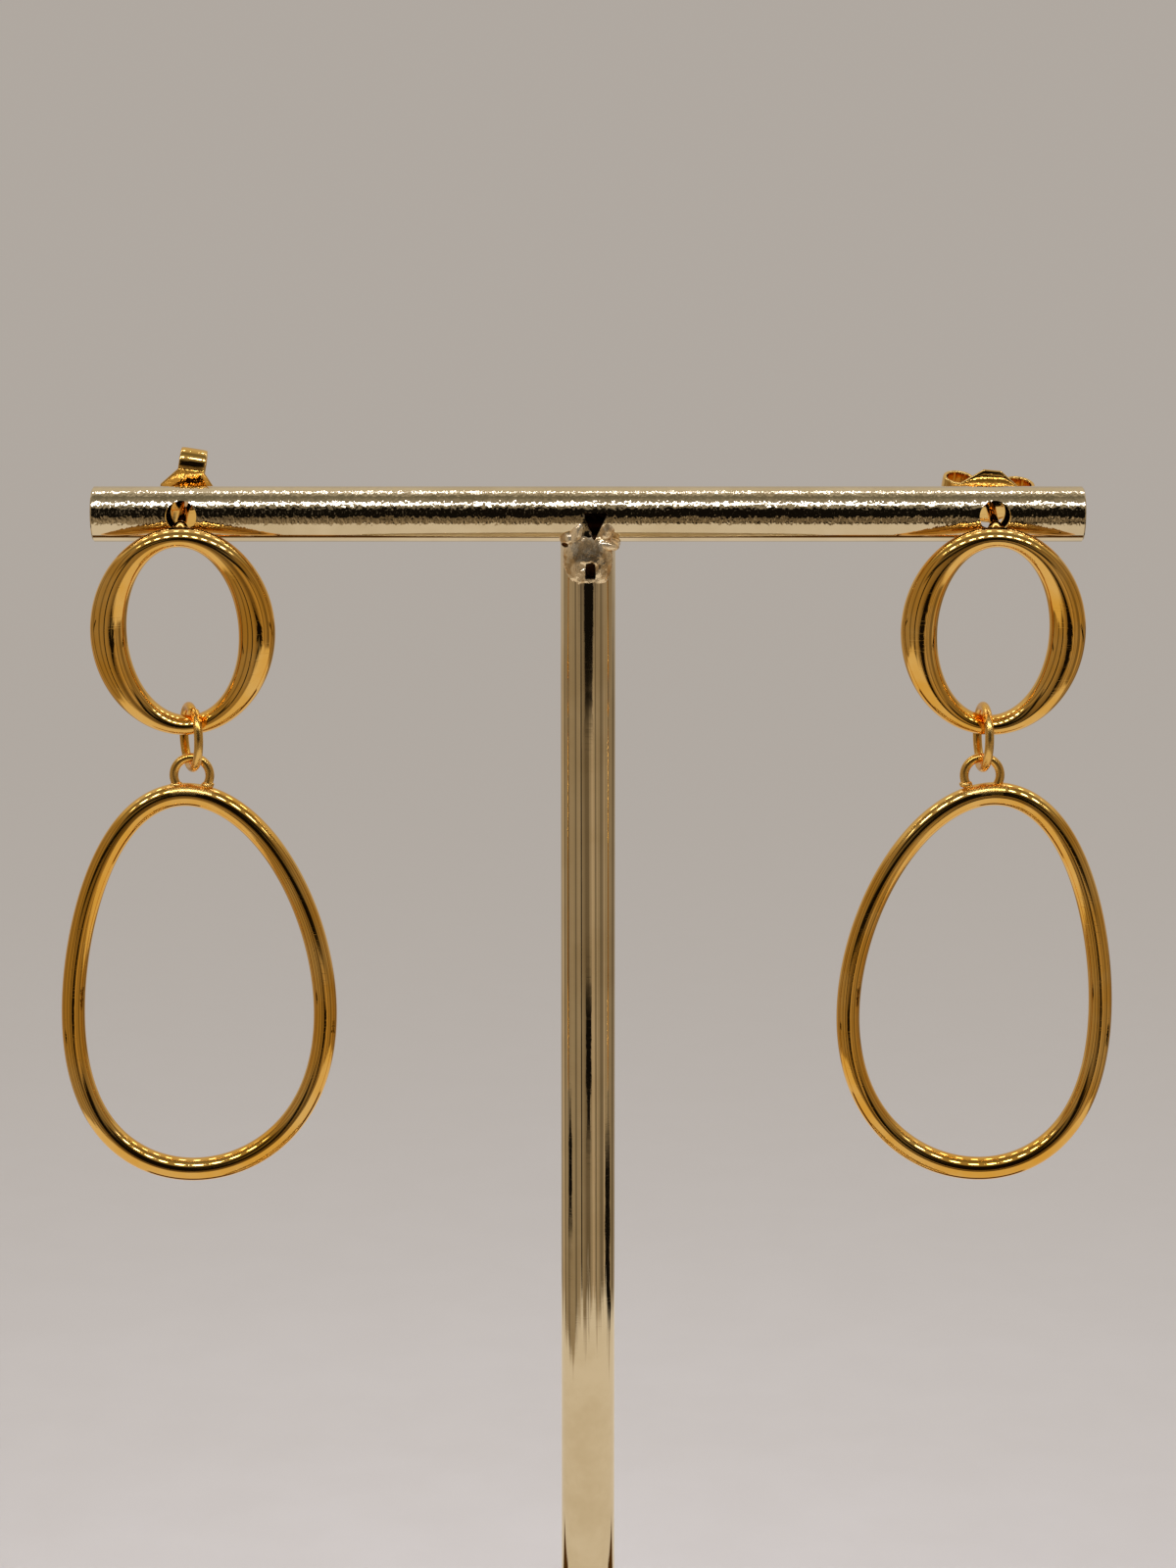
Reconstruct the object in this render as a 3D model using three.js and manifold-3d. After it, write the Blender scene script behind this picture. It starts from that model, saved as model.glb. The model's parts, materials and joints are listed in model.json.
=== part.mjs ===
// A pair of dangle earrings hanging on a plain T-bar stand.
// Units are millimetres, +Z is up, the front faces -Y and the origin is the centre of the base's underside.
// The right earring is drawn first, and the left one is its mirror image.
import * as THREE from 'three';
import { mergeVertices } from 'three/addons/utils/BufferGeometryUtils.js';
import Module from 'manifold-3d';

const wasm = await Module();
wasm.setup();

// Stand
const BASE_DIAMETER = 58;
const BASE_THICKNESS = 4;
const BASE_EDGE = 0.9;
const SOCKET_DEPTH = 2.4;
const SOCKET_CLEARANCE = 0.15;
const TUBE_DIAMETER = 5;
const TUBE_WALL = 0.6;
const BAR_LENGTH = 89.2;
const BAR_AXIS_HEIGHT = 127.5;
const HOLE_DIAMETER = 2.8;
const HOLE_SPACING = 72.9;
const WELD_WIDTH = 5.5;
const WELD_RISE = 1.1;
const DIMPLE_DIAMETER = 3.9;
const DIMPLE_DROP = 2.1;
const DIMPLE_DEPTH = 0.5;
const PIT_WIDTH = 1.9;
const PIT_DEPTH = 0.35;

// Clearances between pieces that touch on the real thing
const REST_GAP = 0.15;
const THREADED_GAP = 0.1;

// Stud ring: an oval band whose hole is narrower than its outline
const STUD_OUTER_WIDTH = 16.7;
const STUD_OUTER_HEIGHT = 19.7;
const STUD_HOLE_WIDTH = 10.1;
const STUD_HOLE_HEIGHT = 16.2;
const STUD_DEPTH = 2.4;
const STUD_OUTLINE_TURN = 4;
const STUD_OFFSET = 0.12;
const STUD_LEAN = 12;

// Ear post, soldered to the back of the stud ring a little out of square
const POST_TILT = 20;
const POST_DIAMETER = 0.9;
const POST_LENGTH = 10;
const POST_TIP = 0.25;
const POST_NOTCH_DEPTH = 0.12;
const POST_NOTCH_LENGTH = 0.7;
const POST_NOTCH_FROM_TIP = 1.6;
const SOLDER_DIAMETER = 1.4;
const SOLDER_LENGTH = 0.5;

// Butterfly nut
const NUT_SHEET = 0.4;
const NUT_STANDOFF = 0.7;
const PAD_WIDTH = 5.2;
const PAD_FLAT = 1.6;
const EAR_WIDTH = 2.4;
const EAR_REACH = 2.75;
const EAR_RADIUS = 1.1;
const EAR_CURL = 290;

// Jump ring, cut once, with its two ends a little out of line
const LINK_DIAMETER = 6.45;
const LINK_WIRE = 0.82;
const LINK_CUT = 0.14;
const LINK_OFFSET = 0.2;

// Drop ring: an egg, narrower at the top, with a soldered loop
const DROP_HALF_WIDTH = 11.7;
const DROP_HALF_HEIGHT = 17.75;
const DROP_TAPER = 0.15;
const DROP_SQUARE = -0.016;
const DROP_BOW = 0.9;
const DROP_WIRE_WIDTH = 2.15;
const DROP_WIRE_DEPTH = 2.05;
const LOOP_DIAMETER = 4.1;
const LOOP_WIRE = 0.82;
const LOOP_SEAT = 0.75;

// What differs between the two earrings: angles in degrees, and how far towards the upright
// the jump ring has slid along the stud ring's bottom
const SIDES = [
  { name: 'left', side: -1, linkTurn: 19, linkSlide: 0.35, loopAngle: 92.5, cutAngle: 62, nutTurn: 10 },
  { name: 'right', side: 1, linkTurn: 6, linkSlide: 0.5, loopAngle: 97, cutAngle: 252, nutTurn: -84 },
];

// How finely the round forms are divided
const TUBE_SIDES = 40;
const BASE_SIDES = 64;
const HOLE_SIDES = 20;
const STUD_STEPS = 44;
const STUD_SIDES = 12;
const DROP_STEPS = 60;
const WIRE_SIDES = 10;
const SMALL_RING_STEPS = 26;

const radians = THREE.MathUtils.degToRad;
const postX = HOLE_SPACING / 2;
const tubeRadius = TUBE_DIAMETER / 2;
const studPlane = -(tubeRadius + REST_GAP + STUD_DEPTH / 2);
const studDrop = (STUD_OUTER_HEIGHT - POST_DIAMETER) / 2;

// Materials
const standMetal = () => new THREE.MeshStandardMaterial({ color: 0xcfc2a0, roughness: 0.2, metalness: 1 });
const goldMetal = () => new THREE.MeshStandardMaterial({ color: 0xd99a35, roughness: 0.12, metalness: 1 });

// Booleans
function toManifold(geometry) {
  const bare = geometry.clone();
  bare.deleteAttribute('normal');
  bare.deleteAttribute('uv');
  const merged = mergeVertices(bare, 1e-5);
  return new wasm.Manifold(new wasm.Mesh({
    numProp: 3,
    vertProperties: new Float32Array(merged.attributes.position.array),
    triVerts: new Uint32Array(merged.index.array),
  }));
}

function toGeometry(solid) {
  const mesh = solid.getMesh();
  const geometry = new THREE.BufferGeometry();
  geometry.setAttribute('position', new THREE.Float32BufferAttribute(mesh.vertProperties, 3));
  geometry.setIndex(new THREE.Uint32BufferAttribute(mesh.triVerts, 1));
  geometry.computeVertexNormals();
  return geometry;
}

function join(first, ...others) {
  return others.reduce((solid, other) => solid.add(toManifold(other)), toManifold(first));
}

function cut(solid, ...tools) {
  return tools.reduce((rest, tool) => rest.subtract(toManifold(tool)), solid);
}

// Cylinders that lie along one of the axes, centred on the origin
function rodX(radius, length, sides) {
  return new THREE.CylinderGeometry(radius, radius, length, sides).rotateZ(Math.PI / 2);
}

function rodY(radius, length, sides) {
  return new THREE.CylinderGeometry(radius, radius, length, sides);
}

function rodZ(radius, length, sides) {
  return new THREE.CylinderGeometry(radius, radius, length, sides).rotateX(Math.PI / 2);
}

// A ring in the XZ plane whose section is an ellipse between an inner and an outer outline.
// Both outlines run anticlockwise as functions of the angle round the ring.
function bandRing(inner, outer, depth, steps, sides) {
  const torus = new THREE.TorusGeometry(2, 1, sides, steps);
  const { position, uv } = torus.attributes;
  for (let i = 0; i < position.count; i += 1) {
    const around = uv.getX(i) * 2 * Math.PI;
    const across = uv.getY(i) * 2 * Math.PI;
    const near = inner(around);
    const far = outer(around);
    const share = (1 + Math.cos(across)) / 2;
    const point = near.lerp(far, share);
    position.setXYZ(i, point.x, -Math.sin(across) * depth / 2, point.y);
  }
  return torus;
}

// An ellipse, mirrored for the left earring
function ellipse(width, height, turn, side) {
  return (angle) => {
    const along = side > 0 ? angle : Math.PI - angle;
    const point = new THREE.Vector2(Math.cos(along) * width / 2, Math.sin(along) * height / 2);
    point.rotateAround(new THREE.Vector2(), radians(turn));
    point.x *= side;
    return point;
  };
}

// The middle line of the drop ring: an ellipse that tapers upwards and bows outwards at its ends
function eggPoint(angle, side) {
  const along = side > 0 ? angle : Math.PI - angle;
  const rise = Math.sin(along);
  const spread = Math.cos(along) * (1 - DROP_TAPER * rise) + DROP_SQUARE * Math.cos(3 * along);
  const x = DROP_HALF_WIDTH * spread + DROP_BOW * (rise * rise - 0.5);
  return new THREE.Vector2(side * x, DROP_HALF_HEIGHT * rise);
}

function eggOutline(offset, side) {
  const step = 1e-3;
  return (angle) => {
    const along = eggPoint(angle + step, side).sub(eggPoint(angle - step, side)).normalize();
    return eggPoint(angle, side).add(new THREE.Vector2(along.y, -along.x).multiplyScalar(offset));
  };
}

// A round section carried along an open curve
function wireAlong(curve, diameter, steps, sides) {
  const section = new THREE.Shape();
  for (let i = 0; i < sides; i += 1) {
    const angle = 2 * Math.PI * i / sides;
    const x = Math.cos(angle) * diameter / 2;
    const y = Math.sin(angle) * diameter / 2;
    if (i === 0) section.moveTo(x, y);
    else section.lineTo(x, y);
  }
  section.closePath();
  return new THREE.ExtrudeGeometry(section, { steps, extrudePath: curve, bevelEnabled: false });
}

// The jump ring's middle line in the YZ plane: one turn less the cut, drifting sideways along X
class LinkCurve extends THREE.Curve {
  constructor(radius, cutAngle) {
    super();
    this.radius = radius;
    this.cutAngle = cutAngle;
  }

  getPoint(t, target = new THREE.Vector3()) {
    const halfCut = LINK_CUT / this.radius / 2;
    const angle = this.cutAngle + halfCut + t * (2 * Math.PI - 2 * halfCut);
    return target.set(
      LINK_OFFSET * (t - 0.5),
      -Math.cos(angle) * this.radius,
      Math.sin(angle) * this.radius,
    );
  }
}

// Centre of mass of a closed mesh, from the tetrahedra between its triangles and the origin
function centreOfMass(geometry) {
  const { position } = geometry.attributes;
  const corner = (i) => new THREE.Vector3().fromBufferAttribute(position, geometry.index.getX(i));
  const moment = new THREE.Vector3();
  let volume = 0;
  for (let i = 0; i < geometry.index.count; i += 3) {
    const [a, b, c] = [corner(i), corner(i + 1), corner(i + 2)];
    const part = a.dot(b.clone().cross(c)) / 6;
    volume += part;
    moment.addScaledVector(a.add(b).add(c), part / 4);
  }
  return moment.divideScalar(volume);
}

// Stand
function standBase() {
  const radius = BASE_DIAMETER / 2;
  const socket = tubeRadius + SOCKET_CLEARANCE;
  const floor = BASE_THICKNESS - SOCKET_DEPTH;
  const profile = [
    new THREE.Vector2(0, 0),
    new THREE.Vector2(radius - BASE_EDGE / 2, 0),
    new THREE.Vector2(radius, BASE_EDGE / 2),
    new THREE.Vector2(radius, BASE_THICKNESS - BASE_EDGE),
    new THREE.Vector2(radius - BASE_EDGE * 0.3, BASE_THICKNESS - BASE_EDGE * 0.3),
    new THREE.Vector2(radius - BASE_EDGE, BASE_THICKNESS),
    new THREE.Vector2(socket, BASE_THICKNESS),
    new THREE.Vector2(socket, floor),
    new THREE.Vector2(0, floor),
  ];
  return new THREE.LatheGeometry(profile, BASE_SIDES).rotateX(Math.PI / 2);
}

function standTBar() {
  const boreRadius = tubeRadius - TUBE_WALL;
  const foot = BASE_THICKNESS - SOCKET_DEPTH + SOCKET_CLEARANCE - BAR_AXIS_HEIGHT;
  const uprightLength = -foot;
  const upright = rodZ(tubeRadius, uprightLength, TUBE_SIDES).translate(0, 0, foot / 2);
  const bar = rodX(tubeRadius, BAR_LENGTH, TUBE_SIDES);
  const weld = new THREE.SphereGeometry(1, TUBE_SIDES / 2, TUBE_SIDES / 4)
    .scale(WELD_WIDTH / 2, WELD_WIDTH / 2, WELD_RISE)
    .translate(0, 0, -tubeRadius);
  const boreTop = -tubeRadius - WELD_RISE;
  const boreLength = boreTop - foot + TUBE_WALL;
  const uprightBore = rodZ(boreRadius, boreLength, TUBE_SIDES)
    .translate(0, 0, boreTop - boreLength / 2);
  const barBore = rodX(boreRadius, BAR_LENGTH + 2 * TUBE_WALL, TUBE_SIDES);
  const postHoles = [-1, 1].map((side) => rodY(HOLE_DIAMETER / 2, 2 * TUBE_DIAMETER, HOLE_SIDES)
    .translate(side * postX, 0, 0));
  const dimple = new THREE.SphereGeometry(DIMPLE_DIAMETER / 2, HOLE_SIDES, HOLE_SIDES / 2)
    .translate(0, DIMPLE_DEPTH - tubeRadius - DIMPLE_DIAMETER / 2, -tubeRadius - DIMPLE_DROP);
  const pit = new THREE.ConeGeometry(PIT_WIDTH / 2, PIT_WIDTH, 3)
    .rotateX(-Math.PI / 2)
    .translate(0, PIT_DEPTH - tubeRadius - PIT_WIDTH / 2, 0);
  return toGeometry(cut(join(bar, upright, weld), uprightBore, barBore, ...postHoles, dimple, pit));
}

// Stud ring with its post, in the stud's own frame: the post lies on the Y axis, pointing back
function postProfile() {
  const radius = POST_DIAMETER / 2;
  const notch = radius - POST_NOTCH_DEPTH;
  const notchEnd = POST_LENGTH - POST_NOTCH_FROM_TIP;
  const notchStart = notchEnd - POST_NOTCH_LENGTH;
  return [
    new THREE.Vector2(0, -STUD_DEPTH / 2),
    new THREE.Vector2(SOLDER_DIAMETER / 2, -STUD_DEPTH / 2),
    new THREE.Vector2(SOLDER_DIAMETER / 2, 0),
    new THREE.Vector2(radius, SOLDER_LENGTH),
    new THREE.Vector2(radius, notchStart),
    new THREE.Vector2(notch, notchStart + POST_NOTCH_DEPTH),
    new THREE.Vector2(notch, notchEnd - POST_NOTCH_DEPTH),
    new THREE.Vector2(radius, notchEnd),
    new THREE.Vector2(radius, POST_LENGTH - POST_TIP),
    new THREE.Vector2(radius - POST_TIP, POST_LENGTH),
    new THREE.Vector2(0, POST_LENGTH),
  ];
}

function studRing(side) {
  const band = bandRing(
    ellipse(STUD_HOLE_WIDTH, STUD_HOLE_HEIGHT, 0, side),
    ellipse(STUD_OUTER_WIDTH, STUD_OUTER_HEIGHT, STUD_OUTLINE_TURN, side),
    STUD_DEPTH,
    STUD_STEPS,
    STUD_SIDES,
  ).translate(side * STUD_OFFSET, 0, -studDrop)
    .rotateX(radians(STUD_LEAN - POST_TILT))
    .translate(0, studPlane, 0);
  const post = new THREE.LatheGeometry(postProfile(), WIRE_SIDES)
    .translate(0, studPlane + STUD_DEPTH / 2, 0);
  return toGeometry(join(band, post));
}

// Butterfly nut: a lozenge pad and two strips that curl back towards the post, which lies on Z
function earNut() {
  const padHalf = PAD_WIDTH / 2;
  const earHalf = EAR_WIDTH / 2;
  const outline = new THREE.Shape();
  outline.moveTo(padHalf, -PAD_FLAT / 2);
  outline.lineTo(padHalf, PAD_FLAT / 2);
  outline.lineTo(earHalf, EAR_REACH);
  outline.lineTo(-earHalf, EAR_REACH);
  outline.lineTo(-padHalf, PAD_FLAT / 2);
  outline.lineTo(-padHalf, -PAD_FLAT / 2);
  outline.lineTo(-earHalf, -EAR_REACH);
  outline.lineTo(earHalf, -EAR_REACH);
  outline.closePath();
  const pad = new THREE.ExtrudeGeometry(outline, { depth: NUT_SHEET, bevelEnabled: false });

  const curlEnd = radians(EAR_CURL - 90);
  const centre = NUT_SHEET + EAR_RADIUS;
  const outerRadius = EAR_RADIUS + NUT_SHEET;
  const strip = new THREE.Shape();
  strip.moveTo(EAR_REACH / 2, 0);
  strip.lineTo(EAR_REACH, 0);
  strip.absarc(EAR_REACH, centre, outerRadius, -Math.PI / 2, curlEnd, false);
  strip.absarc(EAR_REACH, centre, EAR_RADIUS, curlEnd, -Math.PI / 2, true);
  strip.lineTo(EAR_REACH / 2, NUT_SHEET);
  strip.closePath();
  const basis = new THREE.Matrix4().makeBasis(
    new THREE.Vector3(0, 1, 0),
    new THREE.Vector3(0, 0, 1),
    new THREE.Vector3(1, 0, 0),
  );
  const ears = [0, Math.PI].map((turn) => new THREE.ExtrudeGeometry(
    strip,
    { depth: EAR_WIDTH, bevelEnabled: false, curveSegments: 9 },
  ).translate(0, 0, -EAR_WIDTH / 2).applyMatrix4(basis).rotateZ(turn));
  const hole = rodZ(POST_DIAMETER / 2 + THREADED_GAP, 8 * EAR_RADIUS, HOLE_SIDES);
  return toGeometry(cut(join(pad, ...ears), hole));
}

// Jump ring, centred on the origin
function jumpRing(cutAngle) {
  const curve = new LinkCurve((LINK_DIAMETER - LINK_WIRE) / 2, radians(cutAngle));
  return wireAlong(curve, LINK_WIRE, SMALL_RING_STEPS, WIRE_SIDES);
}

// Drop ring with its loop, moved so that the point where it hangs is the origin,
// and turned so that its centre of mass hangs straight below that point
function dropRing(side, loopAngle) {
  const ring = bandRing(
    eggOutline(-DROP_WIRE_WIDTH / 2, side),
    eggOutline(DROP_WIRE_WIDTH / 2, side),
    DROP_WIRE_DEPTH,
    DROP_STEPS,
    WIRE_SIDES,
  );
  const angle = side > 0 ? radians(loopAngle) : Math.PI - radians(loopAngle);
  const seat = eggOutline(DROP_WIRE_WIDTH / 2 + LOOP_SEAT, side)(angle);
  const loopRadius = (LOOP_DIAMETER - LOOP_WIRE) / 2;
  const loop = new THREE.TorusGeometry(loopRadius, LOOP_WIRE / 2, WIRE_SIDES, SMALL_RING_STEPS)
    .rotateX(Math.PI / 2)
    .translate(seat.x, 0, seat.y);
  const hangHeight = loopRadius - LOOP_WIRE / 2 - THREADED_GAP - LINK_WIRE / 2;
  const drop = toGeometry(join(ring, loop)).translate(-seat.x, 0, -seat.y - hangHeight);
  const centre = centreOfMass(drop);
  return drop.rotateY(-Math.atan2(-centre.x, -centre.z));
}

// Puts the earring on the stand. The post tilts because it is slack in the bar's hole, and the
// stud ring leans back less than its post does.
function earring({ name, side, linkTurn, linkSlide, loopAngle, cutAngle, nutTurn }) {
  const group = new THREE.Group();
  group.position.set(side * postX, 0, 0);

  const stud = new THREE.Group();
  stud.rotation.x = radians(POST_TILT);
  const ring = new THREE.Mesh(studRing(side), goldMetal());
  ring.name = `${name}_stud_ring`;
  const nut = new THREE.Mesh(earNut(), goldMetal());
  nut.name = `${name}_ear_nut`;
  nut.rotation.set(-Math.PI / 2, 0, radians(nutTurn));
  nut.position.y = tubeRadius + NUT_STANDOFF;
  stud.add(ring, nut);

  const bottom = (STUD_OUTER_HEIGHT + STUD_HOLE_HEIGHT) / 4;
  const hangPoint = new THREE.Vector3(side * (STUD_OFFSET - linkSlide), 0, -studDrop - bottom)
    .applyEuler(new THREE.Euler(radians(STUD_LEAN), 0, 0))
    .add(new THREE.Vector3(0, studPlane, 0).applyEuler(stud.rotation));
  const bandHalf = (STUD_OUTER_HEIGHT - STUD_HOLE_HEIGHT) / 4;
  const seatRise = Math.max(bandHalf, STUD_DEPTH / 2) + THREADED_GAP;
  const link = new THREE.Mesh(jumpRing(cutAngle), goldMetal());
  link.name = `${name}_jump_ring`;
  link.rotation.z = radians(linkTurn);
  link.position.copy(hangPoint);
  link.position.z += seatRise - (LINK_DIAMETER / 2 - LINK_WIRE);

  const drop = new THREE.Mesh(dropRing(side, loopAngle), goldMetal());
  drop.name = `${name}_drop_ring`;
  drop.position.copy(link.position);
  drop.position.z -= (LINK_DIAMETER - LINK_WIRE) / 2;

  group.add(stud, link, drop);
  return group;
}

const group = new THREE.Group();
const base = new THREE.Mesh(standBase(), standMetal());
base.name = 'stand_base';
const bar = new THREE.Group();
bar.position.z = BAR_AXIS_HEIGHT;
const tBar = new THREE.Mesh(standTBar(), standMetal());
tBar.name = 'stand_t_bar';
bar.add(tBar, ...SIDES.map(earring));
group.add(base, bar);

export default group;
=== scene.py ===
"""Studio scene of a pair of dangle earrings hanging on a plain T-bar stand.

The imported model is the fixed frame. Every metal piece is worked out again here as a fine surface, in
millimetres, and stands where its node is. The metal mirrors a soft studio drawn in the world shader.
"""
from __future__ import annotations

import json
import logging
import math
from dataclasses import dataclass, field
from enum import Enum, IntEnum
from typing import Sequence

import bmesh
import bpy
import numpy as np
from mathutils import Matrix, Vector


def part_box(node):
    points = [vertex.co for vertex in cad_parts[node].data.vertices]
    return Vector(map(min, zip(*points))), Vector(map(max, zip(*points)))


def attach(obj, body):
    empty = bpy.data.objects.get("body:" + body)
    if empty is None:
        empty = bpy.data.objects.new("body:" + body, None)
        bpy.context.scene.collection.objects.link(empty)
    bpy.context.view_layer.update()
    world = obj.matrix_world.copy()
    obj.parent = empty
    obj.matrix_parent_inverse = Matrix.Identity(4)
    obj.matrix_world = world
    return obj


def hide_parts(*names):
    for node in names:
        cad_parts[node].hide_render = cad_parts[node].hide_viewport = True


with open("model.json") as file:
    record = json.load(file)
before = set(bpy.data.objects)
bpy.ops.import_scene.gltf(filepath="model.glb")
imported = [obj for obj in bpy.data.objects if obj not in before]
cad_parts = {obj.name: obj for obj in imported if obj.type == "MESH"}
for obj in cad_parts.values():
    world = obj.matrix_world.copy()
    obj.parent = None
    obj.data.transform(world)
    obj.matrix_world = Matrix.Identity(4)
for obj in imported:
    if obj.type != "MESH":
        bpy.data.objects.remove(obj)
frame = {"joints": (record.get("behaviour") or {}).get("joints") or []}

logging.basicConfig(level=logging.INFO, format="%(levelname)s %(message)s")
log = logging.getLogger("earrings")

Array = np.ndarray
METRES = 0.001


class Operation(Enum):
    """The two ways in which one solid changes another."""

    JOIN = "UNION"
    CUT = "DIFFERENCE"


class Side(Enum):
    """Which earring of the pair: the left one is the mirror image of the right one."""

    LEFT = -1
    RIGHT = 1

    @property
    def label(self) -> str:
        """The name that the side's nodes start with."""
        return self.name.lower()


class Form(IntEnum):
    """What a face of the T-bar lies on."""

    SOLDER = 0
    BAR_WALL = 1
    BAR_BORE = 2
    UPRIGHT_WALL = 3
    UPRIGHT_BORE = 4


# Geometry

def turn_x(degrees: float) -> Array:
    """Rotation matrix about X."""
    return np.array(Matrix.Rotation(math.radians(degrees), 3, "X"))


def turn_z(degrees: float) -> Array:
    """Rotation matrix about Z."""
    return np.array(Matrix.Rotation(math.radians(degrees), 3, "Z"))


def unit(vectors: Array) -> Array:
    """Vectors scaled to length one along the last axis."""
    return vectors / np.linalg.norm(vectors, axis=-1, keepdims=True)


def box_in_mm(node: str) -> tuple[Array, Array]:
    """Lowest and highest corner of a CAD node, in millimetres."""
    low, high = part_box(node)
    return np.array(low) / METRES, np.array(high) / METRES


def add_object(name: str, data: bpy.types.ID) -> bpy.types.Object:
    """Object with the given data, in the scene."""
    made = bpy.data.objects.new(name, data)
    bpy.context.scene.collection.objects.link(made)
    return made


def grid_faces(rows: int, columns: int, wrap_rows: bool, wrap_columns: bool) -> Array:
    """Quads between neighbouring points of a grid.

    Args:
        rows: number of rows of points.
        columns: number of columns of points.
        wrap_rows: whether the last row joins the first.
        wrap_columns: whether the last column joins the first.

    Returns:
        One row of four point numbers for each quad.
    """
    index = np.arange(rows * columns).reshape(rows, columns)
    if wrap_rows:
        index = np.vstack([index, index[:1]])
    if wrap_columns:
        index = np.hstack([index, index[:, :1]])
    corners = [index[:-1, :-1], index[1:, :-1], index[1:, 1:], index[:-1, 1:]]
    return np.stack(corners, -1).reshape(-1, 4)


def solid_from_grid(name: str, points: Array, wrap_rows: bool = False) -> bpy.types.Object:
    """Closed piece from a grid whose columns run round a section.

    Points that coincide, as at a pole, are merged. The faces are turned outwards by the sign of
    the volume, which is the sum over the faces of the tetrahedra to the origin.

    Args:
        name: name of the piece.
        points: grid of points in millimetres, rows by columns by three.
        wrap_rows: whether the last row joins the first, as round a ring.

    Returns:
        The piece, still in millimetres.
    """
    rows, columns = points.shape[:2]
    faces = grid_faces(rows, columns, wrap_rows, True)
    mesh = bpy.data.meshes.new(name)
    mesh.from_pydata(points.reshape(-1, 3).tolist(), [], faces.tolist())
    work = bmesh.new()
    work.from_mesh(mesh)
    bmesh.ops.remove_doubles(work, verts=work.verts, dist=1e-5)
    bmesh.ops.dissolve_degenerate(work, edges=work.edges, dist=1e-6)
    if work.calc_volume(signed=True) < 0:
        bmesh.ops.reverse_faces(work, faces=work.faces)
    work.to_mesh(mesh)
    work.free()
    return add_object(name, mesh)


def swept(path: Array, radius: float, binormal: Array, sides: int) -> Array:
    """Grid of a round section carried along a path.

    The section's axes are the given binormal and the cross product of the path's direction with
    it, so a point is path + radius (cos t across + sin t binormal).

    Args:
        path: points of the middle line.
        radius: radius of the section.
        binormal: direction that every section contains.
        sides: number of points round the section.

    Returns:
        Grid of points, path by sides by three.
    """
    direction = unit(np.gradient(path, axis=0))
    across = unit(np.cross(direction, binormal))
    angle = np.linspace(0, 2 * np.pi, sides, endpoint=False)[None, :, None]
    ring = np.cos(angle) * across[:, None] + np.sin(angle) * np.asarray(binormal)
    return path[:, None] + radius * ring


def turned(profile: Sequence[tuple[float, float]], start: Array, axis: Array, sides: int) -> Array:
    """Grid of a profile turned about an axis.

    Args:
        profile: pairs of place along the axis and radius.
        start: point where the place along the axis is zero.
        axis: direction of the axis.
        sides: number of points round the axis.

    Returns:
        Grid of points, profile by sides by three.
    """
    along, radius = np.array(profile, float).T
    axis = unit(np.asarray(axis, float))
    helper = np.eye(3)[np.argmin(np.abs(axis))]
    first = unit(np.cross(axis, helper))
    second = np.cross(axis, first)
    angle = np.linspace(0, 2 * np.pi, sides, endpoint=False)[:, None]
    ring = np.cos(angle) * first + np.sin(angle) * second
    return np.asarray(start) + along[:, None, None] * axis + radius[:, None, None] * ring


def rod(
    start: Array, end: Array, radius: float, sides: int, bevel: float = 0.0, rings: Sequence[float] = ()
) -> Array:
    """Grid of a plain round rod between two points.

    Args:
        start: middle of the first end.
        end: middle of the last end.
        radius: radius of the rod.
        sides: number of points round it.
        bevel: size of the bevel at both ends.
        rings: places from the start that get a ring of points.

    Returns:
        Grid of points, rings by sides by three.
    """
    length = float(np.linalg.norm(np.subtract(end, start)))
    profile = [(0, 0), (0, radius - bevel), (bevel, radius)]
    profile += [(place_at, radius) for place_at in rings]
    profile += [(length - bevel, radius), (length, radius - bevel), (length, 0)]
    return turned(profile, start, np.subtract(end, start), sides)


def ellipsoid(centre: Array, half: Array, rows: int, columns: int) -> Array:
    """Grid of an ellipsoid: latitude rows by longitude columns."""
    latitude = np.linspace(-np.pi / 2, np.pi / 2, rows)[:, None]
    longitude = np.linspace(0, 2 * np.pi, columns, endpoint=False)[None]
    shape = np.broadcast_arrays(
        np.cos(latitude) * np.cos(longitude),
        np.cos(latitude) * np.sin(longitude),
        np.sin(latitude) + 0 * longitude,
    )
    return np.asarray(centre) + np.stack(shape, -1) * np.asarray(half)


def ripple(points: Array, size: float, height: float, seed: int) -> Array:
    """Uneven offsets for a lumpy surface: a sum of sine waves in random directions.

    Args:
        points: grid of points in millimetres.
        size: rough width of the lumps.
        height: rough height of the lumps.
        seed: seed of the random directions.

    Returns:
        One offset for each point.
    """
    random = np.random.default_rng(seed)
    waves = 14
    directions = unit(random.normal(size=(waves, 3))) / size * random.uniform(0.6, 2.2, (waves, 1))
    phases = random.uniform(0, 2 * np.pi, waves)
    return height * np.sin(2 * np.pi * points @ directions.T + phases).sum(-1) / math.sqrt(waves)


def read(items: bpy.types.bpy_prop_collection, name: str, width: int = 1, kind: type = float) -> Array:
    """Values of one property of a mesh's items.

    Args:
        items: the mesh's vertices, corners, faces or triangles.
        name: name of the property.
        width: how many numbers each item has.
        kind: type of the numbers.

    Returns:
        One number for each item, or one row of numbers where the width is above one.
    """
    values = np.empty(len(items) * width, kind)
    items.foreach_get(name, values)
    return values if width == 1 else values.reshape(-1, width)


def centre_of_mass(mesh: bpy.types.Mesh) -> Array:
    """Centre of a closed mesh's volume.

    It is the mean of the tetrahedra between the faces and the origin, weighted by their volume.
    """
    mesh.calc_loop_triangles()
    corners = read(mesh.loop_triangles, "vertices", 3, int)
    a, b, c = np.moveaxis(read(mesh.vertices, "co", 3)[corners], 1, 0)
    volume = (a * np.cross(b, c)).sum(1)
    return ((a + b + c) * volume[:, None]).sum(0) / 4 / volume.sum()


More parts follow.
